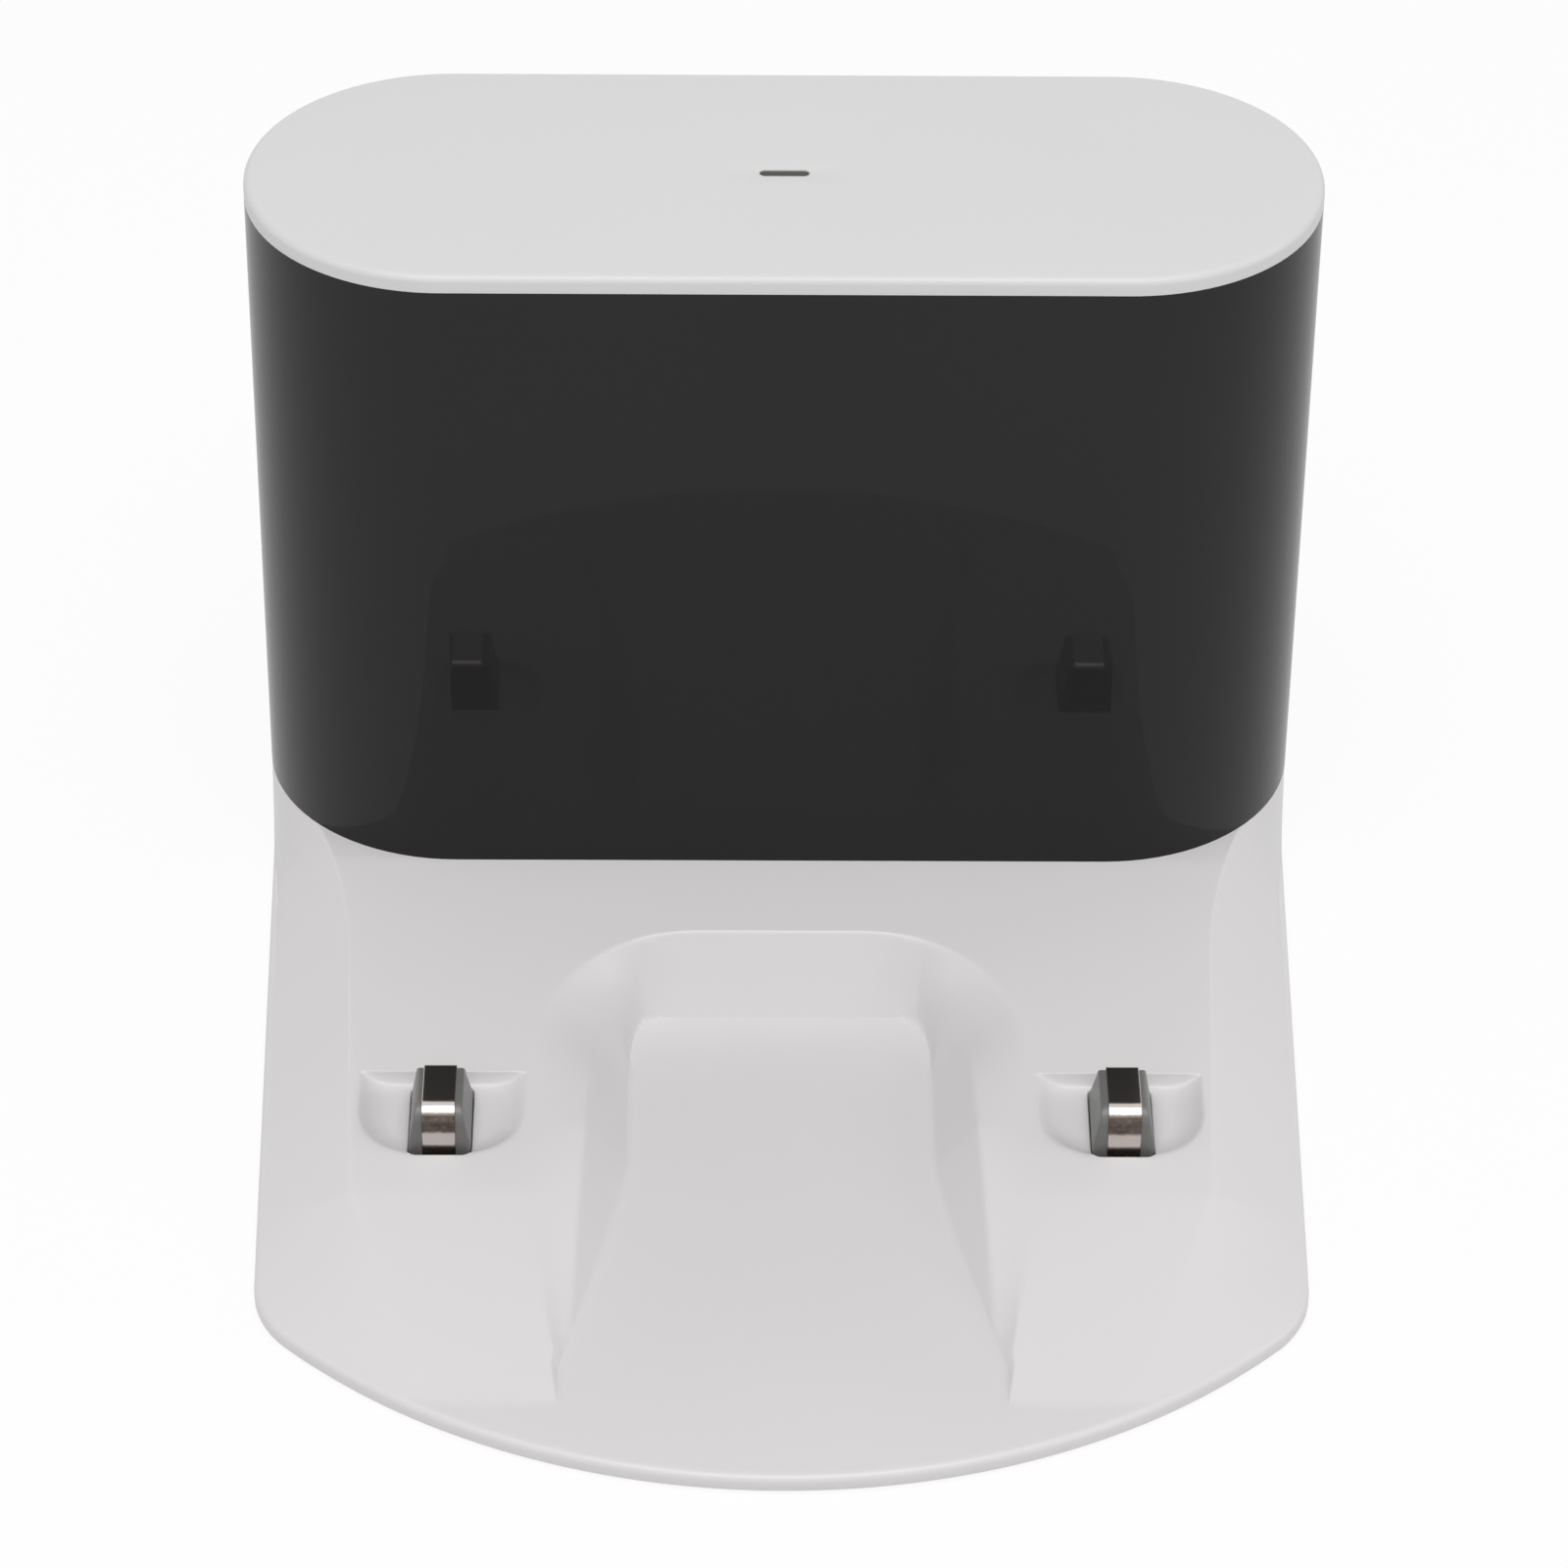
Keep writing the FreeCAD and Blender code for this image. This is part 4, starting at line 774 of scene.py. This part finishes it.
for side, sign in (("left", -1), ("right", 1)):
    body = "contact_" + side
    middle = sign * baseForm["contactAt"]
    points, faces = carrierSkin(carrierForm, springForm, middle)
    addPiece("carrierSkin." + side, points, faces, body, "grey_carrier", ["contact_carrier_" + side])
    points, faces = plateSkin(plateForm, middle)
    addPiece("plateSkin." + side, points, faces, body, "contact_metal", ["contact_plate_" + side],
             sharpAngle=60)
    points, faces = springSkin(springForm, middle)
    spring = addPiece("springSkin." + side, points, faces, "dock", "spring_steel", ["contact_spring_" + side])
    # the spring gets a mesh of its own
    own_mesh(spring)

capForm = {
    "edgeRadius": 0.9, "slotStraight": 2.3, "slotRadius": 0.72, "slotRound": 0.08, "wall": 1.6, "roof": 1.5,
    "roundShare": 0.3, "arcSteps": 64, "lineSteps": 24, "edgeSteps": 9, "faceSteps": 10,
}


# stadium rings, anticlockwise, one at each height: half circles about two centres, joined by straight lines
def stadiumRings(middleY, straight, radius, z, form):
    turn = np.linspace(-math.pi / 2, math.pi / 2, form["arcSteps"] + 1)
    line = np.linspace(1, -1, form["lineSteps"] + 1)[1:-1]
    shareX = np.concatenate([np.ones_like(turn), line, -np.ones_like(turn), -line])
    roundX = np.concatenate([np.cos(turn), 0 * line, -np.cos(turn), 0 * line])
    roundY = np.concatenate([np.sin(turn), np.ones_like(line), -np.sin(turn), -np.ones_like(line)])
    x = straight[:, None] * shareX + radius[:, None] * roundX
    y = middleY + radius[:, None] * roundY
    return np.stack([x, y, np.broadcast_to(z[:, None], x.shape)], axis=-1)


# white cap: stadium rings from the slot over the top, round the edge, under the rim and back to the slot
def capSkin(form):
    low, high = nodeBox("front_window")
    bottom, top = high[2], cadBox[1][2] / mm
    outer = (nodeBox("rear_shell")[1][1] - low[1]) / 2 - trim
    straight = high[0] - trim - outer
    middle = low[1] + trim + outer
    edge, soft = form["edgeRadius"], form["slotRound"]
    part = form["roundShare"] * soft
    angle = np.linspace(0, math.pi / 2, form["edgeSteps"])[1:]
    share = np.linspace(0, 1, form["faceSteps"])
    slotR, slotS = form["slotRadius"], form["slotStraight"]
    inner = outer - form["wall"]
    roof = top - form["roof"]
    # radius, straight half and height of each ring: slot's edge, top, outer edge, rim, then inside to the slot
    radius = [[slotR, slotR + part], slotR + soft + (outer - edge - slotR - soft) * share,
              outer - edge + edge * np.sin(angle), [outer, inner], inner + (slotR - inner) * share]
    wide = [[slotS, slotS], slotS + (straight - slotS) * share, np.full(len(angle), straight),
            np.full(2, straight), straight + (slotS - straight) * share]
    z = [[top - soft, top - part], np.full(len(share), top), top - edge + edge * np.cos(angle),
         [bottom, bottom], np.full(len(share), roof)]
    rings = stadiumRings(middle, np.concatenate(wide), np.concatenate(radius), np.concatenate(z), form)
    # the rings run outwards over the top, so they are taken in turn from last to first for outward faces
    rings = rings[::-1]
    count, around = rings.shape[:2]
    index = np.arange(count * around).reshape(count, around)
    index = np.concatenate([index, index[:, :1]], axis=1)
    index = np.concatenate([index, index[:1]])
    return rings.reshape(-1, 3), gridQuads(index).tolist()


lensForm = {
    "lensGap": 0.04, "lensSink": 0.12, "lensRound": 0.08, "flangeGrow": 1.3, "flangeHeight": 1.9,
}


# smoked lens: a stadium bar up through the cap's slot, with a flange under the cap
def lensSkin(form, cap):
    low, high = nodeBox("light_guide")
    top = cadBox[1][2] / mm - form["lensSink"]
    under = nodeBox("front_window")[1][2]
    radius, soft = cap["slotRadius"] - form["lensGap"], form["lensRound"]
    part = cap["roundShare"] * soft
    flange, flangeLow = radius + form["flangeGrow"], under - form["flangeHeight"]
    radii = np.array([radius, radius, flange, flange, radius, radius, radius - part, radius - soft])
    z = np.array([low[2], flangeLow, flangeLow, under, under, top - soft, top - part, top])
    straight = np.full(len(z), cap["slotStraight"])
    rings = stadiumRings((low[1] + high[1]) / 2, straight, radii, z, cap)
    return rings.reshape(-1, 3), stackFaces(rings.shape[0], rings.shape[1])


points, faces = capSkin(capForm)
addPiece("capSkin", points, faces, "dock", "white_cap", ["top_cap"])
points, faces = lensSkin(lensForm, capForm)
addPiece("lensSkin", points, faces, "dock", "smoke_lens", ["light_guide"])

# camera at the photograph's place: position in millimetres, angles in radians
cameraPlace = {
    "position": (-6.7004, -582.3438, 466.2926), "pitch": 0.6271, "yaw": 0.0117, "roll": 0.0105,
    "focal": 6189.35, "image": 1600, "sensor": 36.0, "clipNear": 0.01, "clipFar": 50.0,
}


# looks along yaw and pitch, then turns about the line of sight by roll
def addCamera(place):
    pitch, yaw, roll = place["pitch"], place["yaw"], place["roll"]
    forward = np.array([math.sin(yaw) * math.cos(pitch), math.cos(yaw) * math.cos(pitch), -math.sin(pitch)])
    right = np.array([math.cos(yaw), -math.sin(yaw), 0.0])
    up = np.cross(right, forward)
    across = math.cos(roll) * right + math.sin(roll) * up
    above = -math.sin(roll) * right + math.cos(roll) * up
    data = bpy.data.cameras.new("camera")
    data.sensor_width = place["sensor"]
    data.lens = place["focal"] / place["image"] * place["sensor"]
    data.clip_start = place["clipNear"]
    data.clip_end = place["clipFar"]
    camera = bpy.data.objects.new("camera", data)
    bpy.context.scene.collection.objects.link(camera)
    turned = np.eye(4)
    turned[:3, 0], turned[:3, 1], turned[:3, 2] = across, above, -forward
    turned[:3, 3] = np.array(place["position"]) * mm
    camera.matrix_world = Matrix(turned.tolist())
    bpy.context.scene.camera = camera


addCamera(cameraPlace)
print("camera placed")

studio = {
    "floorSize": 4.0, "floorColour": (0.90, 0.90, 0.90, 1.0), "worldLight": 0.445, "whiteShare": 0.9,
    "steep": 0.95,
    "aim": (0.0, -0.01, 0.03),  # the point that every lamp faces
    # name, place, width, height and power of each lamp
    "lamps": (
        ("overhead", (0.0, -0.4, 1.05), 0.8, 0.8, 7.8),
        ("left", (-0.8, -0.05, 0.42), 0.3, 0.3, 0.25),
        ("right", (0.8, -0.05, 0.42), 0.3, 0.3, 0.6),
    ),
}


# one for rays from the camera, from gloss and through clear parts, which see a white studio, else nought
def seenWhite(flow):
    seen = flow.node("LightPath", out="Is Camera Ray")
    gloss = flow.node("LightPath", out="Is Glossy Ray")
    through = flow.node("LightPath", out="Is Transmission Ray")
    return flow.maths("MAXIMUM", flow.maths("MAXIMUM", seen, gloss), through)


# a white studio to look at, a plain soft light on the object, and a floor that keeps its shadow
def addStudio(form):
    white = (1.0, 1.0, 1.0, 1.0)
    world = bpy.data.worlds.new("studio")
    bpy.context.scene.world = world
    world.use_nodes = True
    world.node_tree.nodes.clear()
    flow = Flow(world.node_tree)
    light = flow.node("Background", {}, {"Color": white, "Strength": form["worldLight"]})
    bright = flow.node("Background", {}, {"Color": white, "Strength": 1.0})
    both = flow.node("MixShader", {}, {0: seenWhite(flow), 1: light, 2: bright})
    flow.node("OutputWorld", {}, {"Surface": both})
    half = form["floorSize"] / 2
    corners = np.array([[-half, -half, 0], [half, -half, 0], [half, half, 0], [-half, half, 0]])
    mesh = bpy.data.meshes.new("floor")
    mesh.from_pydata(corners.tolist(), [], [[0, 1, 2, 3]])
    floor = bpy.data.objects.new("floor", mesh)
    bpy.context.scene.collection.objects.link(floor)
    material, flow = newMaterial("paleFloor")
    matte = flow.node("BsdfDiffuse", {}, {"Color": form["floorColour"]})
    glow = flow.node("Emission", {}, {"Color": white, "Strength": 1.0})
    both = flow.node("MixShader", {}, {0: seenWhite(flow) * form["whiteShare"], 1: matte, 2: glow})
    flow.node("OutputMaterial", {}, {"Surface": both})
    mesh.materials.append(material)
    for name, place, wide, tall, power in form["lamps"]:
        data = bpy.data.lights.new(name, "AREA")
        data.shape = "RECTANGLE"
        data.size = wide
        data.size_y = tall
        data.energy = power
        lamp = bpy.data.objects.new(name, data)
        bpy.context.scene.collection.objects.link(lamp)
        back = np.array(place) - np.array(form["aim"])
        back /= np.linalg.norm(back)
        side = np.cross([0, 1, 0] if abs(back[2]) > form["steep"] else [0, 0, 1], back)
        side /= np.linalg.norm(side)
        turned = np.eye(4)
        turned[:3, 0], turned[:3, 1], turned[:3, 2] = side, np.cross(back, side), back
        turned[:3, 3] = place
        lamp.matrix_world = Matrix(turned.tolist())


addStudio(studio)
bpy.context.scene.view_settings.view_transform = "Standard"
print("studio ready")
